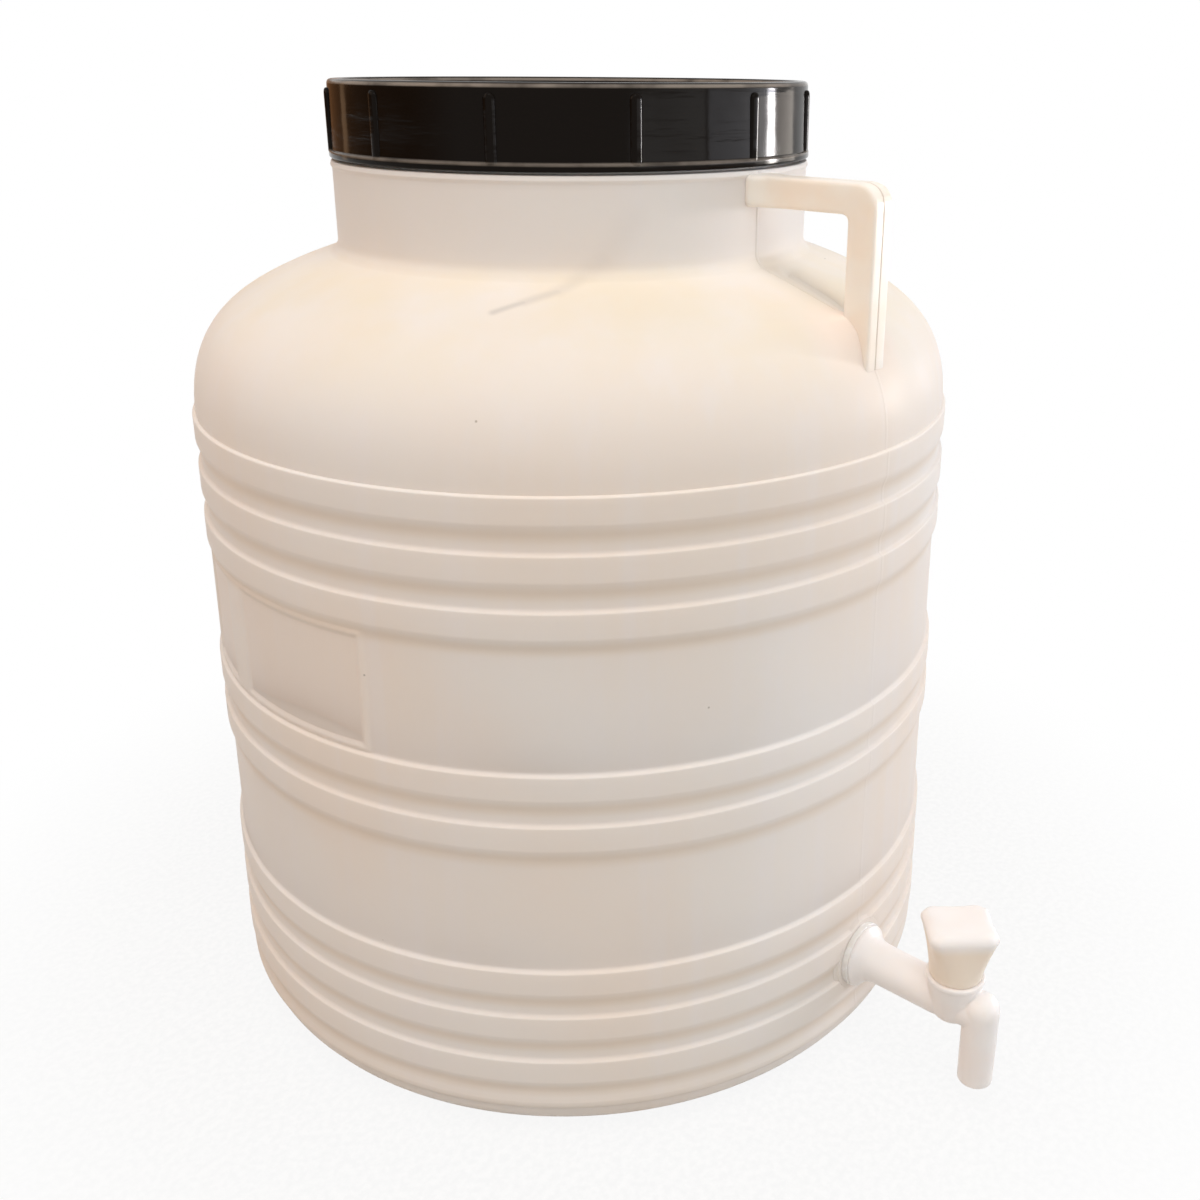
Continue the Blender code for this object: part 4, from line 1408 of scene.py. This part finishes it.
    def build(self) -> list[Piece]:
        """Make the shell and its neck thread.

        Returns:
            Wall, shoulder with neck, tap pad and thread.
        """
        material = self.finish.material()
        profile, outside_rows = self.wall_profile()
        edges = [(edge, 1.2, 0.34) for pair in self.fields for edge in pair]
        wall = self.turned.make("drum_wall", profile, self.meridians(
            self.wall_step, [(0.0, 6.4, 0.45), *edges]), material)
        self.relieve_wall(wall.data, outside_rows)
        profile, outside_rows = self.shoulder_profile()
        shoulder = self.turned.make("drum_shoulder", profile, self.meridians(
            self.shoulder_step, [(0.0, 9.0, 0.38), (180.0, 9.0, 0.38), (-14.0, 14.0, 0.6),
                                 (166.0, 14.0, 0.6)]), material, closed=True)
        self.relieve_shoulder(shoulder.data, outside_rows)
        edge = self.pad_radius
        boss = self.turned.make("tap_pad", rounded_path([
            (0.0, 0.2095, 0.0), (edge + 0.0016, 0.2095, 0.0), (edge + 0.0016, 0.2108, 0.0),
            (edge + 0.0003, 0.2118, 0.0010), (edge, self.pad_face, 0.0007),
            (0.0, self.pad_face, 0.0)], 0.004, 15.0), even_meridians(120), material)
        boss.data.transform(lay_front(self.tap_height))
        for piece in (wall, shoulder, boss):
            dress(piece, material, Body.DRUM, ["drum_body"], self.crease)
        thread = self.thread.make("neck_thread", {
            "Turns": 1.75, "Radius": self.finish_radius + 0.0004, "Rise": 1.75 * self.lead,
            "Depth": 0.0032, "Foot": 0.0046, "Crest": 0.0018}, 96, self.neck_top + 0.0055,
            material)
        dress(thread, material, Body.DRUM)
        return [wall, shoulder, boss, thread]


@dataclass
class LoopHandle:
    """A solid loop handle, moulded with the shell from the neck to the shoulder."""

    side: Side
    reach: float = 0.2014
    bar: float = 0.0150
    arm: float = 0.0148
    top: float = 0.4754
    neck: float = 0.1286
    thickness: float = 0.0160
    root_thickness: float = 0.0205
    root_reach: float = 0.0130
    corner: float = 0.0120
    pocket: float = 0.0040
    foot: float = 0.3836
    inner_foot: float = 0.4005

    def build(self, material: Material) -> Piece:
        """Make the loop, its thicker root on the neck and its spread foot.

        Args:
            material: Its finish.

        Returns:
            The dressed handle.
        """
        inner = self.reach - self.bar
        under = self.top - self.arm
        root = self.neck - 0.0020
        outline = rounded_path([
            (root, self.top, 0.0), (self.reach, self.top, self.corner),
            (self.reach, self.foot, 0.0), (inner, self.inner_foot, 0.0),
            (inner, under, self.pocket), (root, under, 0.0), (root, self.top, 0.0)],
            0.004)[:-1]
        way = self.side.value
        half = self.thickness / 2

        def stand(along: float, up: float, depth: float) -> Place:
            """Place a point of the side view at a depth across the handle."""
            return (-way * depth, way * along, up)

        name = f"handle_{self.side.name.lower()}"
        item = rounded_edges(prism(name, outline, -half, half, stand), 0.0018)
        # The section widens over the last stretch before the neck into a round-ended tongue
        wide = self.root_thickness / 2
        mid = (self.top + under) / 2
        tongue = rounded_path([
            (-wide, 0.0, 0.0), (wide, 0.0, 0.0),
            (wide, self.root_reach * 0.35, 0.006), (half, self.root_reach, 0.010),
            (half - 0.002, self.root_reach + 0.006, 0.003),
            (-half + 0.002, self.root_reach + 0.006, 0.003), (-half, self.root_reach, 0.010),
            (-wide, self.root_reach * 0.35, 0.006), (-wide, 0.0, 0.0)], 0.004)[:-1]
        block = rounded_edges(prism(
            "tongue", tongue, mid - self.arm / 2 - 0.0003, mid + self.arm / 2 + 0.0003,
            lambda a, b, depth: (way * a, way * (self.neck - 0.002 + b), depth)), 0.0060)
        boolean(item, block, "UNION")
        melted(item, 0.00075, 5)
        return dress(item, material, Body.DRUM, ["drum_body"], crease=None)


@dataclass
class ScrewCap:
    """The black cap: ribbed skirt over a foot bead, raised rim round a sunk panel."""

    turned: TurnedSurface
    ribs: RibRing
    thread: ScrewThread
    finish: GlossPolypropylene
    radius: float = 0.1285
    foot: float = 0.4789
    ceiling: float = 0.5128
    panel: float = 0.5150
    top: float = 0.5180
    wall: float = 0.0022
    rim_width: float = 0.0060
    bead: float = 0.0012
    bead_height: float = 0.0042
    rib_count: int = 12
    rib_width: float = 0.0058
    rib_proud: float = 0.0016
    rib_top: float = 0.5136
    rib_turn: float = -1.8
    lead: float = 0.0120

    def profile(self) -> list[Point]:
        """Draw the cap from the panel's centre over the rim to the ceiling's centre.

        Returns:
            The points of the profile.
        """
        inside = self.radius - self.wall
        rim = self.radius - self.rim_width
        raised, sunk = self.panel + 0.0005, self.panel - 0.0004
        corners: list[Corner] = [
            # A fine raised ring round the mould's gate
            (0.0, self.panel, 0.0), (0.0180, self.panel, 0.0004), (0.0184, raised, 0.0004),
            (0.0196, raised, 0.0004), (0.0200, self.panel, 0.0004),
            # A shallow gutter, then the rim and the skirt's outside
            (rim - 0.0120, self.panel, 0.001), (rim - 0.0110, sunk, 0.001),
            (rim - 0.0016, sunk, 0.0014), (rim, self.top, 0.0012),
            (self.radius - 0.0004, self.top, 0.0032),
            (self.radius, self.foot + self.bead_height, 0.0006),
            (self.radius + self.bead, self.foot + self.bead_height - 0.0006, 0.0010),
            (self.radius + self.bead, self.foot, 0.0012),
            # Back up inside the skirt
            (inside, self.foot, 0.0005), (inside, self.ceiling, 0.0010),
            (0.0, self.ceiling, 0.0)]
        return rounded_path(corners, 0.0080, 15.0)

    def rib(self) -> Piece:
        """Make one upright rib with a rounded crest and a round top end.

        Returns:
            The rib, its back inside the skirt.
        """
        low = self.foot + self.bead_height - 0.0008
        half = self.rib_width / 2
        rings: list[list[Place]] = []
        across = [math.cos(math.pi * step / 10) for step in range(11)]
        levels = [low + (self.rib_top - half - low) * step / 6 for step in range(7)]
        levels += [self.rib_top - half + half * math.sin(math.pi / 2 * step / 6)
                   for step in range(1, 7)]
        for level in levels:
            over = max(0.0, (level - (self.rib_top - half)) / half)
            share = math.sqrt(max(1.0 - over * over, 0.0004))
            proud = self.rib_proud * min(1.0, share ** 0.6)
            ring = [(half * share * c, -proud * (1.0 - abs(c) ** 3.2), level) for c in across]
            ring += [(-half * share, 0.0012, level), (half * share, 0.0012, level)]
            rings.append(ring)
        return loft("rib", rings)

    def build(self) -> list[Piece]:
        """Make the cap, its ribs and its inner thread.

        Returns:
            The three pieces.
        """
        material = self.finish.material()
        cap = self.turned.make("screw_cap", self.profile(), even_meridians(216), material)
        dress(cap, material, Body.CAP, ["lid_cap"], crease=40.0)
        rib = self.rib()
        ring = self.ribs.apply("cap_ribs", {
            "Rib": rib, "Count": self.rib_count, "Radius": self.radius - 0.0001,
            "Turn": math.radians(self.rib_turn), "Material": material})
        discard(rib)
        dress(ring, material, Body.CAP, ["lid_cap"], crease=60.0)
        thread = self.thread.make("cap_thread", {
            "Turns": 1.5, "Radius": self.radius - self.wall - 0.0006, "Rise": 1.5 * self.lead,
            "Depth": -0.0030, "Foot": 0.0042, "Crest": 0.0016}, 96, self.foot + 0.0100,
            material)
        dress(thread, material, Body.CAP)
        return [cap, ring, thread]


@dataclass
class SealRing:
    """The foam ring that the cap presses on the rim."""

    turned: TurnedSurface
    finish: CellFoam
    inner: float = 0.1189
    outer: float = 0.1265
    low: float = 0.5109
    high: float = 0.5125

    def build(self) -> Piece:
        """Make the ring with softly pressed edges.

        Returns:
            The ring.
        """
        material = self.finish.material()
        mid = (self.inner + self.outer) / 2
        corners: list[Corner] = [
            (mid, self.high, 0.0), (self.outer, self.high, 0.0005),
            (self.outer, self.low, 0.0005), (self.inner, self.low, 0.0005),
            (self.inner, self.high, 0.0005), (mid, self.high, 0.0)]
        ring = self.turned.make("foam_seal", rounded_path(corners, 0.004)[:-1],
                                even_meridians(160), material, closed=True)
        return dress(ring, material, Body.SEAL, ["lid_seal"])


@dataclass
class DrawOffTap:
    """The tap's one-piece moulding, with its washers and back nut."""

    turned: TurnedSurface
    thread: ScrewThread
    washer_finish: MilkySilicone
    height: float = 0.0575
    pad_face: float = 0.2130
    pad_back: float = 0.2080
    gap: float = 0.0003
    washer: float = 0.0020
    washer_radius: float = 0.0179
    flange_radius: float = 0.0172
    flange: float = 0.0032
    spigot: float = 0.0098
    pipe: float = 0.0112
    bore: float = 0.0062
    valve: float = 0.2720
    barrel_top: float = 0.0155
    barrel_neck: float = 0.0146
    rim_height: float = 0.0030
    mouth: float = 0.0753
    plug_top: float = 0.0115
    plug_base: float = 0.0087
    spout: float = 0.2885
    spout_radius: float = 0.0096
    spout_bore: float = 0.0070
    spout_end: float = 0.0160
    cross_bore: float = 0.0052
    nut: float = 0.0065
    nut_flats: float = 0.0160

    def seat(self) -> float:
        """Distance of the flange's back from the drum's axis, in front of its washer."""
        return self.pad_face + 2 * self.gap + self.washer

    def nut_face(self) -> float:
        """Distance of the back nut's face from the drum's axis, behind its washer."""
        return self.pad_back - 2 * self.gap - self.washer

    def spigot_end(self) -> float:
        """Distance of the spigot's inner end from the drum's axis, past the nut."""
        return self.nut_face() - self.nut - 0.004

    def rod(self, name: str, profile: list[Point], place: Matrix,
            material: Material, count: int = 72) -> Piece:
        """Turn a rough form and put it in its place.

        Args:
            name: The form's name.
            profile: Radius and height of its points.
            place: Where it goes.
            material: Its finish.
            count: Number of meridians.

        Returns:
            The form.
        """
        item = self.turned.make(name, profile, even_meridians(count), material)
        item.data.transform(place)
        return item

    def body(self, material: Material) -> Piece:
        """Blend flange, pipe, barrel, elbow and spout into one moulding.

        Args:
            material: Its finish.

        Returns:
            The moulding.
        """
        seat = self.seat()
        lay = lay_front(self.height)
        flange_end = seat + self.flange
        # Flange and pipe, then what is joined to them: barrel, spout and elbow
        tap = self.rod("tap_moulding", [
            (0.0, seat), (self.flange_radius - 0.0006, seat),
            (self.flange_radius, seat + 0.0006), (self.flange_radius, flange_end - 0.0010),
            (self.flange_radius - 0.0016, flange_end + 0.0002),
            (self.pipe + 0.0022, flange_end + 0.0022), (self.pipe + 0.0008, flange_end + 0.0048),
            (self.pipe + 0.0001, flange_end + 0.0085), (self.pipe, self.valve - 0.010),
            (self.pipe - 0.0006, self.valve), (0.0, self.valve)], lay, material)
        at_valve = Matrix.Translation((0.0, -self.valve, 0.0))
        at_spout = Matrix.Translation((0.0, -self.spout, 0.0))
        base = self.height - self.pipe
        shelf = self.mouth - self.rim_height
        barrel = self.rod("barrel", [
            (0.0, base + 0.0003), (0.0046, base + 0.0006), (0.0080, base + 0.0021),
            (0.0104, base + 0.0048), (0.0116, base + 0.0080),
            (self.barrel_neck, shelf), (self.barrel_top, shelf + 0.0004),
            (self.barrel_top, self.mouth), (0.0, self.mouth)], at_valve, material)
        dome = self.height + 0.0030
        arc = [(self.spout_radius * math.cos(a), dome + self.spout_radius * math.sin(a))
               for a in (math.pi / 2 * step / 8 for step in range(8))]
        tube = self.rod("tube", [
            (0.0, self.spout_end), (self.spout_radius - 0.0004, self.spout_end), *arc,
            (0.0, dome + self.spout_radius)], at_spout, material)
        bridge = self.rod("bridge", [
            (0.0, self.valve - 0.001), (self.pipe - 0.0006, self.valve - 0.001),
            (self.spout_radius, self.spout - 0.004), (self.spout_radius, self.spout),
            (0.0, self.spout)], lay, material)
        for part in (barrel, tube, bridge):
            boolean(tap, part, "UNION")
        # What is cut from them; each cutter runs on past the opening it makes
        low = base + 0.0022
        over = 0.02
        slope = (self.plug_top - self.plug_base) / (self.mouth - low)
        socket = self.rod("socket", [
            (0.0, low), (self.plug_base, low), (self.plug_top + slope * over, self.mouth + over),
            (0.0, self.mouth + over)], at_valve, material)
        inlet = self.spigot_end() - over
        pipe_bore = self.rod("pipe_bore", [
            (0.0, inlet), (self.bore, inlet), (self.bore, self.valve), (0.0, self.valve)],
            lay, material, 40)
        outlet = self.rod("outlet", [
            (0.0, self.valve), (self.cross_bore, self.valve), (self.cross_bore, self.spout),
            (0.0, self.spout)], lay, material, 40)
        down = self.rod("down", [
            (0.0, self.spout_end - over), (self.spout_bore, self.spout_end - over),
            (self.spout_bore, self.height), (0.004, dome + 0.0026), (0.0, dome + 0.0026)],
            at_spout, material, 40)
        for cut in (socket, pipe_bore, outlet, down):
            boolean(tap, cut, "DIFFERENCE")
        melted(tap, 0.00048, 7)
        return dress(tap, material, Body.DRUM, ["tap_body"], crease=None)

    def spigot_piece(self, material: Material) -> list[Piece]:
        """Make the threaded spigot that runs through the wall, behind the flange.

        Args:
            material: Its finish.

        Returns:
            The tube and its thread.
        """
        seat, end = self.seat(), self.spigot_end()
        mid = (self.bore + self.spigot) / 2
        corners: list[Corner] = [
            (mid, end, 0.0), (self.spigot - 0.0004, end, 0.0006),
            (self.spigot - 0.0004, seat + 0.0004, 0.0), (self.bore + 0.0003, seat + 0.0004, 0.0),
            (self.bore + 0.0003, end, 0.0006), (mid, end, 0.0)]
        tube = self.turned.make("tap_spigot", rounded_path(corners, 0.004)[:-1],
                                even_meridians(64), material, closed=True)
        tube.data.transform(lay_front(self.height))
        dress(tube, material, Body.DRUM, ["tap_body"])
        thread = self.thread.make("spigot_thread", {
            "Turns": 8.0, "Radius": self.spigot - 0.0004, "Rise": 8.0 * 0.0018,
            "Depth": 0.0008, "Foot": 0.0013, "Crest": 0.0004}, 40, end + 0.001, material)
        thread.data.transform(lay_front(self.height))
        dress(thread, material, Body.DRUM, ["tap_body"])
        return [tube, thread]

    def washers(self) -> list[Piece]:
        """Make the outer and the inner washer.

        Returns:
            The two washers.
        """
        material = self.washer_finish.material()
        made = []
        hole = self.spigot + self.gap
        mid = (hole + self.washer_radius) / 2
        for name, node, low in (
                ("washer_outer", "tap_washer_outer", self.pad_face),
                ("washer_inner", "tap_washer_inner", self.nut_face())):
            high = low + self.washer + 2 * self.gap
            front = high + (0.0008 if node.endswith("outer") else 0.0)
            corners: list[Corner] = [
                (mid, front, 0.0), (self.washer_radius, front, 0.0007),
                (self.washer_radius, low, 0.0004), (hole, low, 0.0005), (hole, front, 0.0005),
                (mid, front, 0.0)]
            ring = self.turned.make(name, rounded_path(corners, 0.004)[:-1],
                                    even_meridians(72), material, closed=True)
            ring.data.transform(lay_front(self.height))
            made.append(dress(ring, material, Body.DRUM, [node]))
        return made

    def back_nut(self, material: Material) -> Piece:
        """Make the hexagonal back nut with its chamfered corners.

        Args:
            material: Its finish.

        Returns:
            The nut.
        """
        face = self.nut_face()
        corner = self.nut_flats / math.cos(math.pi / 6)
        outline = [(corner * math.cos(math.pi * step / 3), corner * math.sin(math.pi * step / 3))
                   for step in range(6)]
        nut = prism("back_nut", outline, face - self.nut, face, lambda a, b, depth: (a, b, depth))
        chamfer = self.turned.make("chamfer", [
            (0.0, face - self.nut), (self.nut_flats, face - self.nut),
            (corner, face - self.nut + 0.0016), (corner, face - 0.0016),
            (self.nut_flats, face), (0.0, face)], even_meridians(72), material)
        boolean(nut, chamfer, "INTERSECT")
        hole = self.turned.make("hole", [
            (0.0, face - 0.02), (self.spigot + self.gap, face - 0.02),
            (self.spigot + self.gap, face + 0.02), (0.0, face + 0.02)],
            even_meridians(64), material)
        boolean(nut, hole, "DIFFERENCE")
        nut.data.transform(lay_front(self.height))
        rounded_edges(nut, 0.0004, 2, 30.0)
        return dress(nut, material, Body.DRUM, ["tap_nut"])

    def build(self, material: Material) -> list[Piece]:
        """Make every fixed piece of the tap, in the moulding's finish."""
        return [self.body(material), *self.spigot_piece(material), *self.washers(),
                self.back_nut(material)]


@dataclass
class TapKey:
    """The turning key: a tapered plug with a cross bore under a four-cornered knob."""

    turned: TurnedSurface
    valve: float = 0.2720
    height: float = 0.0575
    base: float = 0.0495
    foot: float = 0.07535
    top: float = 0.1076
    plug_base: float = 0.0084
    plug_top: float = 0.0112
    cross_bore: float = 0.0052
    knob_foot: float = 0.0139
    corner_reach: float = 0.0212
    half_side: float = 0.0170
    knob_wide: float = 0.08
    knob_turn: float = -2.5
    edge: float = 0.0046
    # Below its pale top edge the knob is painted amber over this height, as shade on its sides
    pale_rim: float = 0.0036
    amber_reach: float = 0.0080
    columns: int = 96

    def outline(self, angle: float) -> float:
        """Measure the knob's outline in plan, a square with hollow sides and soft corners.

        Args:
            angle: Direction in radians; the corners lie at multiples of a quarter turn.

        Returns:
            Distance of the outline from the axis.
        """
        side = abs((angle + math.pi / 4) % (math.pi / 2) - math.pi / 4)
        flat = self.half_side / math.cos(math.pi / 4 - side)
        flat -= 0.0005 * math.cos(2 * (math.pi / 4 - side)) ** 2
        # A soft minimum of the flat side and the corner's reach
        sharp = 14.0 / 0.004
        return -math.log(math.exp(-sharp * flat) + math.exp(-sharp * self.corner_reach)) / sharp

    def build(self, material: Material) -> Piece:
        """Loft the key and bore it across.

        Args:
            material: Its finish.

        Returns:
            The key.
        """
        angles = [2 * math.pi * step / self.columns for step in range(self.columns)]
        rings: list[list[Place]] = []

        def ring(level: float, radii: Sequence[float], knob: float = 0.0) -> None:
            """Add one level of the loft.

            Args:
                level: Its height.
                radii: Its radius at each angle.
                knob: Share by which it is pulled wide and turned as the knob is.
            """
            turn = math.radians(self.knob_turn) * knob
            round_ring: list[Place] = []
            for r, a in zip(radii, angles):
                wide = r * math.cos(a + math.pi / 4 + turn) * (1 + self.knob_wide * knob)
                deep = r * math.sin(a + math.pi / 4 + turn) * (1 - self.knob_wide * knob)
                round_ring.append(((wide + deep) / math.sqrt(2),
                                   -self.valve + (deep - wide) / math.sqrt(2), level))
            rings.append(round_ring)

        full = [self.outline(a) for a in angles]
        # The tapered plug
        ring(self.base, [self.plug_base - 0.0006] * self.columns)
        ring(self.base + 0.0006, [self.plug_base] * self.columns)
        for step in range(1, 9):
            share = step / 8
            ring(self.base + 0.0006 + (self.foot - self.base - 0.0006) * share,
                 [self.plug_base + (self.plug_top - self.plug_base) * share] * self.columns)
        # The knob, round at its foot and flaring to the four corners
        ring(self.foot, [self.knob_foot - 0.0008] * self.columns)
        ring(self.foot + 0.0004, [self.knob_foot - 0.0002] * self.columns)
        levels = 22
        for step in range(levels + 1):
            share = step / levels
            swell = share ** 1.30
            ring(self.foot + 0.0009 + (self.top - self.edge - self.foot - 0.0009) * share,
                 [self.knob_foot + (f - self.knob_foot) * swell for f in full], swell)
        # Its rounded top edge and its flat top
        for step in range(1, 7):
            turn = math.pi / 2 * step / 6
            inset = self.edge * (1 - math.cos(turn))
            ring(self.top - self.edge + self.edge * math.sin(turn), [f - inset for f in full], 1.0)
        for share in (0.82, 0.6, 0.35, 0.12):
            ring(self.top, [(f - self.edge) * share for f in full], 1.0)
        key = loft("tap_key_knob", rings)
        bore = self.turned.make("cross_bore", [
            (0.0, -0.03), (self.cross_bore, -0.03), (self.cross_bore, 0.03), (0.0, 0.03)],
            even_meridians(48), material)
        bore.data.transform(Matrix.Translation((0.0, -self.valve, self.height))
                            @ Matrix.Rotation(math.pi / 2, 4, "Y"))
        boolean(key, bore, "DIFFERENCE")
        # Mark the knob's sides for painted amber shade below its pale top
        depth = key.data.attributes.new("thick", "FLOAT", "POINT")
        for spot, held in zip(key.data.vertices, depth.data):
            below = portion(self.top - self.pale_rim - spot.co.z, self.amber_reach)
            held.value = float(below) * (spot.co.z > self.foot)
        return dress(key, material, Body.KEY, ["tap_key"], crease=40.0)


@dataclass
class Studio:
    """Pale floor, white surroundings, soft lamps and the photograph's camera."""

    camera_place: Place = (-0.5157, -0.5157, 0.5260)
    lens: float = 38.106
    pitch: float = 19.519
    roll: float = 0.418
    heading: float = 45.0 + 4.897
    shift: Point = (-0.0688, -0.0713)
    paper: str = "#A4A09A"
    fibre: str = "#E2DED8"
    room: str = "#9A6A44"
    floor_reach: float = 9.0

    def sight(self, tree: Tree) -> tuple[Node, Any]:
        """Tell the rays that look at a thing from the rays that light it.

        Args:
            tree: The node tree.

        Returns:
            The light path, and the node with one for camera, glossy and transmission rays.
        """
        rays = add_node(tree, "ShaderNodeLightPath")
        seen: Any = rays.outputs["Is Camera Ray"]
        for label in ("Is Glossy Ray", "Is Transmission Ray"):
            seen = add_node(tree, "ShaderNodeMath", {0: seen, 1: rays.outputs[label]},
                            operation="MAXIMUM")
        return rays, seen

    def floor(self) -> Piece:
        """Lay a large sheet of matt paper under the drum, which shows white but for shadow.

        Returns:
            The sheet.
        """
        size = self.floor_reach
        sheet = plain_mesh("studio_floor", [(-size, -size, 0.0), (size, -size, 0.0),
                                            (size, size, 0.0), (-size, size, 0.0)], [(0, 1, 2, 3)])
        material, tree, place = new_material("matt_studio_paper")
        # Fibres a little paler than the sheet keep it from looking sprayed
        colour = tinted(tree, self.paper, [
            Tint(patches(tree, place, 2 * MM, 3.0), self.fibre, 0.3, 0.7)])
        shader = add_node(tree, "ShaderNodeBsdfPrincipled",
                          {"Base Color": colour, "Roughness": 0.9, "Specular IOR Level": 0.2})
        white = add_node(tree, "ShaderNodeEmission", {"Color": "#FFFFFF"})
        away = add_node(tree, "ShaderNodeVectorMath", {0: place}, operation="LENGTH")
        clear = add_node(tree, "ShaderNodeMapRange", {0: away, 1: 0.24, 2: 0.50, 3: 0.90}, **SOFT)
        shown = add_node(tree, "ShaderNodeMath", {0: clear, 1: self.sight(tree)[1]},
                         operation="MULTIPLY")
        mixed = add_node(tree, "ShaderNodeMixShader", {0: shown, 1: shader, 2: white})
        add_node(tree, "ShaderNodeOutputMaterial", {0: mixed})
        sheet.data.materials.append(material)
        return sheet

    def lamp(self, name: str, place: Place, target: Place, size: Point, power: float,
             colour: str = "#FFFFFF", glossy: bool = True, diffuse: bool = True) -> None:
        """Hang one soft rectangular lamp.

        Args:
            name: The lamp's name.
            place: Where it hangs.
            target: What it points at.
            size: Width and height.
            power: Watts.
            colour: Its light's colour.
            glossy: Whether reflections show it.
            diffuse: Whether it lights matt surfaces.
        """
        light = bpy.data.lights.new(name, "AREA")
        light.shape = "RECTANGLE"
        light.size, light.size_y = size
        light.energy = power
        light.color = linear(colour)[:3]
        item = link(name, light)
        item.location = place
        item.visible_camera = False
        item.visible_glossy = glossy
        item.visible_diffuse = diffuse
        way = Vector(target) - Vector(place)
        item.rotation_euler = way.to_track_quat("-Z", "Y").to_euler()

    def world(self) -> None:
        """White surroundings for what looks at them, and an even fill for the rest."""
        world = bpy.data.worlds.new("white_surroundings")
        world.use_nodes = True
        tree = world.node_tree
        tree.nodes.clear()
        rays, seen = self.sight(tree)
        strength = add_node(tree, "ShaderNodeMapRange", {0: seen, 3: 0.45, 4: 1.0})
        # Behind the drum to the left the room is dim and warm, and only reflections show it
        way = add_node(tree, "ShaderNodeTexCoord").outputs["Generated"]
        toward = add_node(tree, "ShaderNodeVectorMath", {0: way, 1: (-0.30, 0.95, 0.0)},
                          operation="DOT_PRODUCT")
        rise = add_node(tree, "ShaderNodeSeparateXYZ", {0: way}).outputs["Z"]
        lift = add_node(tree, "ShaderNodeMath", {0: rise}, operation="ABSOLUTE")
        room: Any = rays.outputs["Is Glossy Ray"]
        for part, low, high, first, last in ((toward, 0.35, 0.80, 0.0, 1.0),
                                             (lift, 0.10, 0.22, 1.0, 0.0)):
            near = add_node(tree, "ShaderNodeMapRange",
                            {0: part, 1: low, 2: high, 3: first, 4: last}, **SOFT)
            room = add_node(tree, "ShaderNodeMath", {0: room, 1: near}, operation="MULTIPLY")
        shade = tinted(tree, "#FFFFFF", [Tint(room, self.room)])
        back = add_node(tree, "ShaderNodeBackground", {"Color": shade, "Strength": strength})
        add_node(tree, "ShaderNodeOutputWorld", {0: back})
        bpy.context.scene.world = world

    def camera(self) -> None:
        """Stand the camera where the photograph was taken from."""
        data = bpy.data.cameras.new("photo_camera")
        data.lens = self.lens
        data.sensor_width = 36.0
        data.sensor_fit = "HORIZONTAL"
        data.shift_x, data.shift_y = self.shift
        data.clip_start, data.clip_end = 0.01, 50.0
        item = link("photo_camera", data)
        turn, dip, roll = (math.radians(v) for v in (self.heading, self.pitch, self.roll))
        ahead = Vector((math.sin(turn) * math.cos(dip), math.cos(turn) * math.cos(dip),
                        -math.sin(dip)))
        right = Vector((math.cos(turn), -math.sin(turn), 0.0))
        up = right.cross(ahead)
        side = math.cos(roll) * right + math.sin(roll) * up
        top = -math.sin(roll) * right + math.cos(roll) * up
        stand = Matrix((side, top, -ahead)).transposed().to_4x4()
        item.matrix_world = Matrix.Translation(self.camera_place) @ stand
        bpy.context.scene.camera = item

    def build(self) -> None:
        """Set up floor, lamps, surroundings and camera."""
        self.floor()
        self.world()
        middle, lid = (0.0, 0.0, 0.25), (0.0, 0.0, 0.50)
        self.lamp("softbox_top", (-0.35, -0.35, 2.0), middle, (0.9, 0.9), 11.5, glossy=False)
        self.lamp("strip_top", (-1.1, -1.1, 1.8), lid, (1.5, 0.22), 5.5)
        self.lamp("softbox_right", (1.32, -1.69, 0.52), lid, (1.50, 0.30), 7.6, "#F4F6FF")
        self.lamp("softbox_front", (-0.04, -2.15, 0.52), lid, (1.40, 0.30), 3.6)
        self.lamp("softbox_left", (-1.95, 0.85, 1.45), middle, (1.0, 1.2), 9.0, "#FFCDA2")
        self.lamp("strip_right", (1.72, -1.02, 0.50), lid, (0.20, 0.28), 7.0, "#F4F4FF")
        self.lamp("strip_shine", (1.72, -1.02, 0.38), lid, (0.19, 0.40), 16.0, "#FFF8F0",
                  diffuse=False)
        self.lamp("card_right", (1.82, -0.86, 0.42), lid, (1.30, 0.30), 4.9, "#FFF4E8",
                  diffuse=False)
        self.lamp("strip_back", (-0.28, 1.98, 0.8), lid, (0.18, 1.2), 0.8, "#FFCFA0")
        self.camera()
        bpy.context.scene.view_settings.view_transform = "Standard"


def main() -> None:
    """Build the drum from its sub-assemblies, in order, and report each piece."""
    logging.basicConfig(level=logging.INFO, format="%(message)s")
    Studio().build()
    turned, thread, ribs = TurnedSurface(), ScrewThread(), RibRing()
    pieces = DrumShell(turned, thread, BlownPolyethylene()).build()
    # The handles are as thick as a finger, so light soaks in and leaves them warm
    solid = MouldedPolyethylene(name="solid_hdpe_handle", body="#FFF5EA", deep="#FFEEDE",
                                soak=0.30, seam_width=0.8 * MM).material()
    pieces += [LoopHandle(side).build(solid) for side in Side]
    pieces += ScrewCap(turned, ribs, thread, GlossPolypropylene()).build()
    pieces.append(SealRing(turned, CellFoam()).build())
    # The tap is dense and pale, with a soft sheen
    cream = MouldedPolyethylene(name="cream_moulded_polyethylene", body="#FEF8F4",
                                deep="#FDF4EF", soak=0.30, depth=4.0 * MM).material()
    pieces += DrawOffTap(turned, thread, MilkySilicone()).build(cream)
    pieces.append(TapKey(turned).build(cream))
    for piece in pieces:
        piece.data.calc_loop_triangles()
        LOG.info("%s: %d triangles in %s", piece.name, len(piece.data.loop_triangles),
                 piece.data.materials[0].name)


if __name__ == "__main__":
    main()
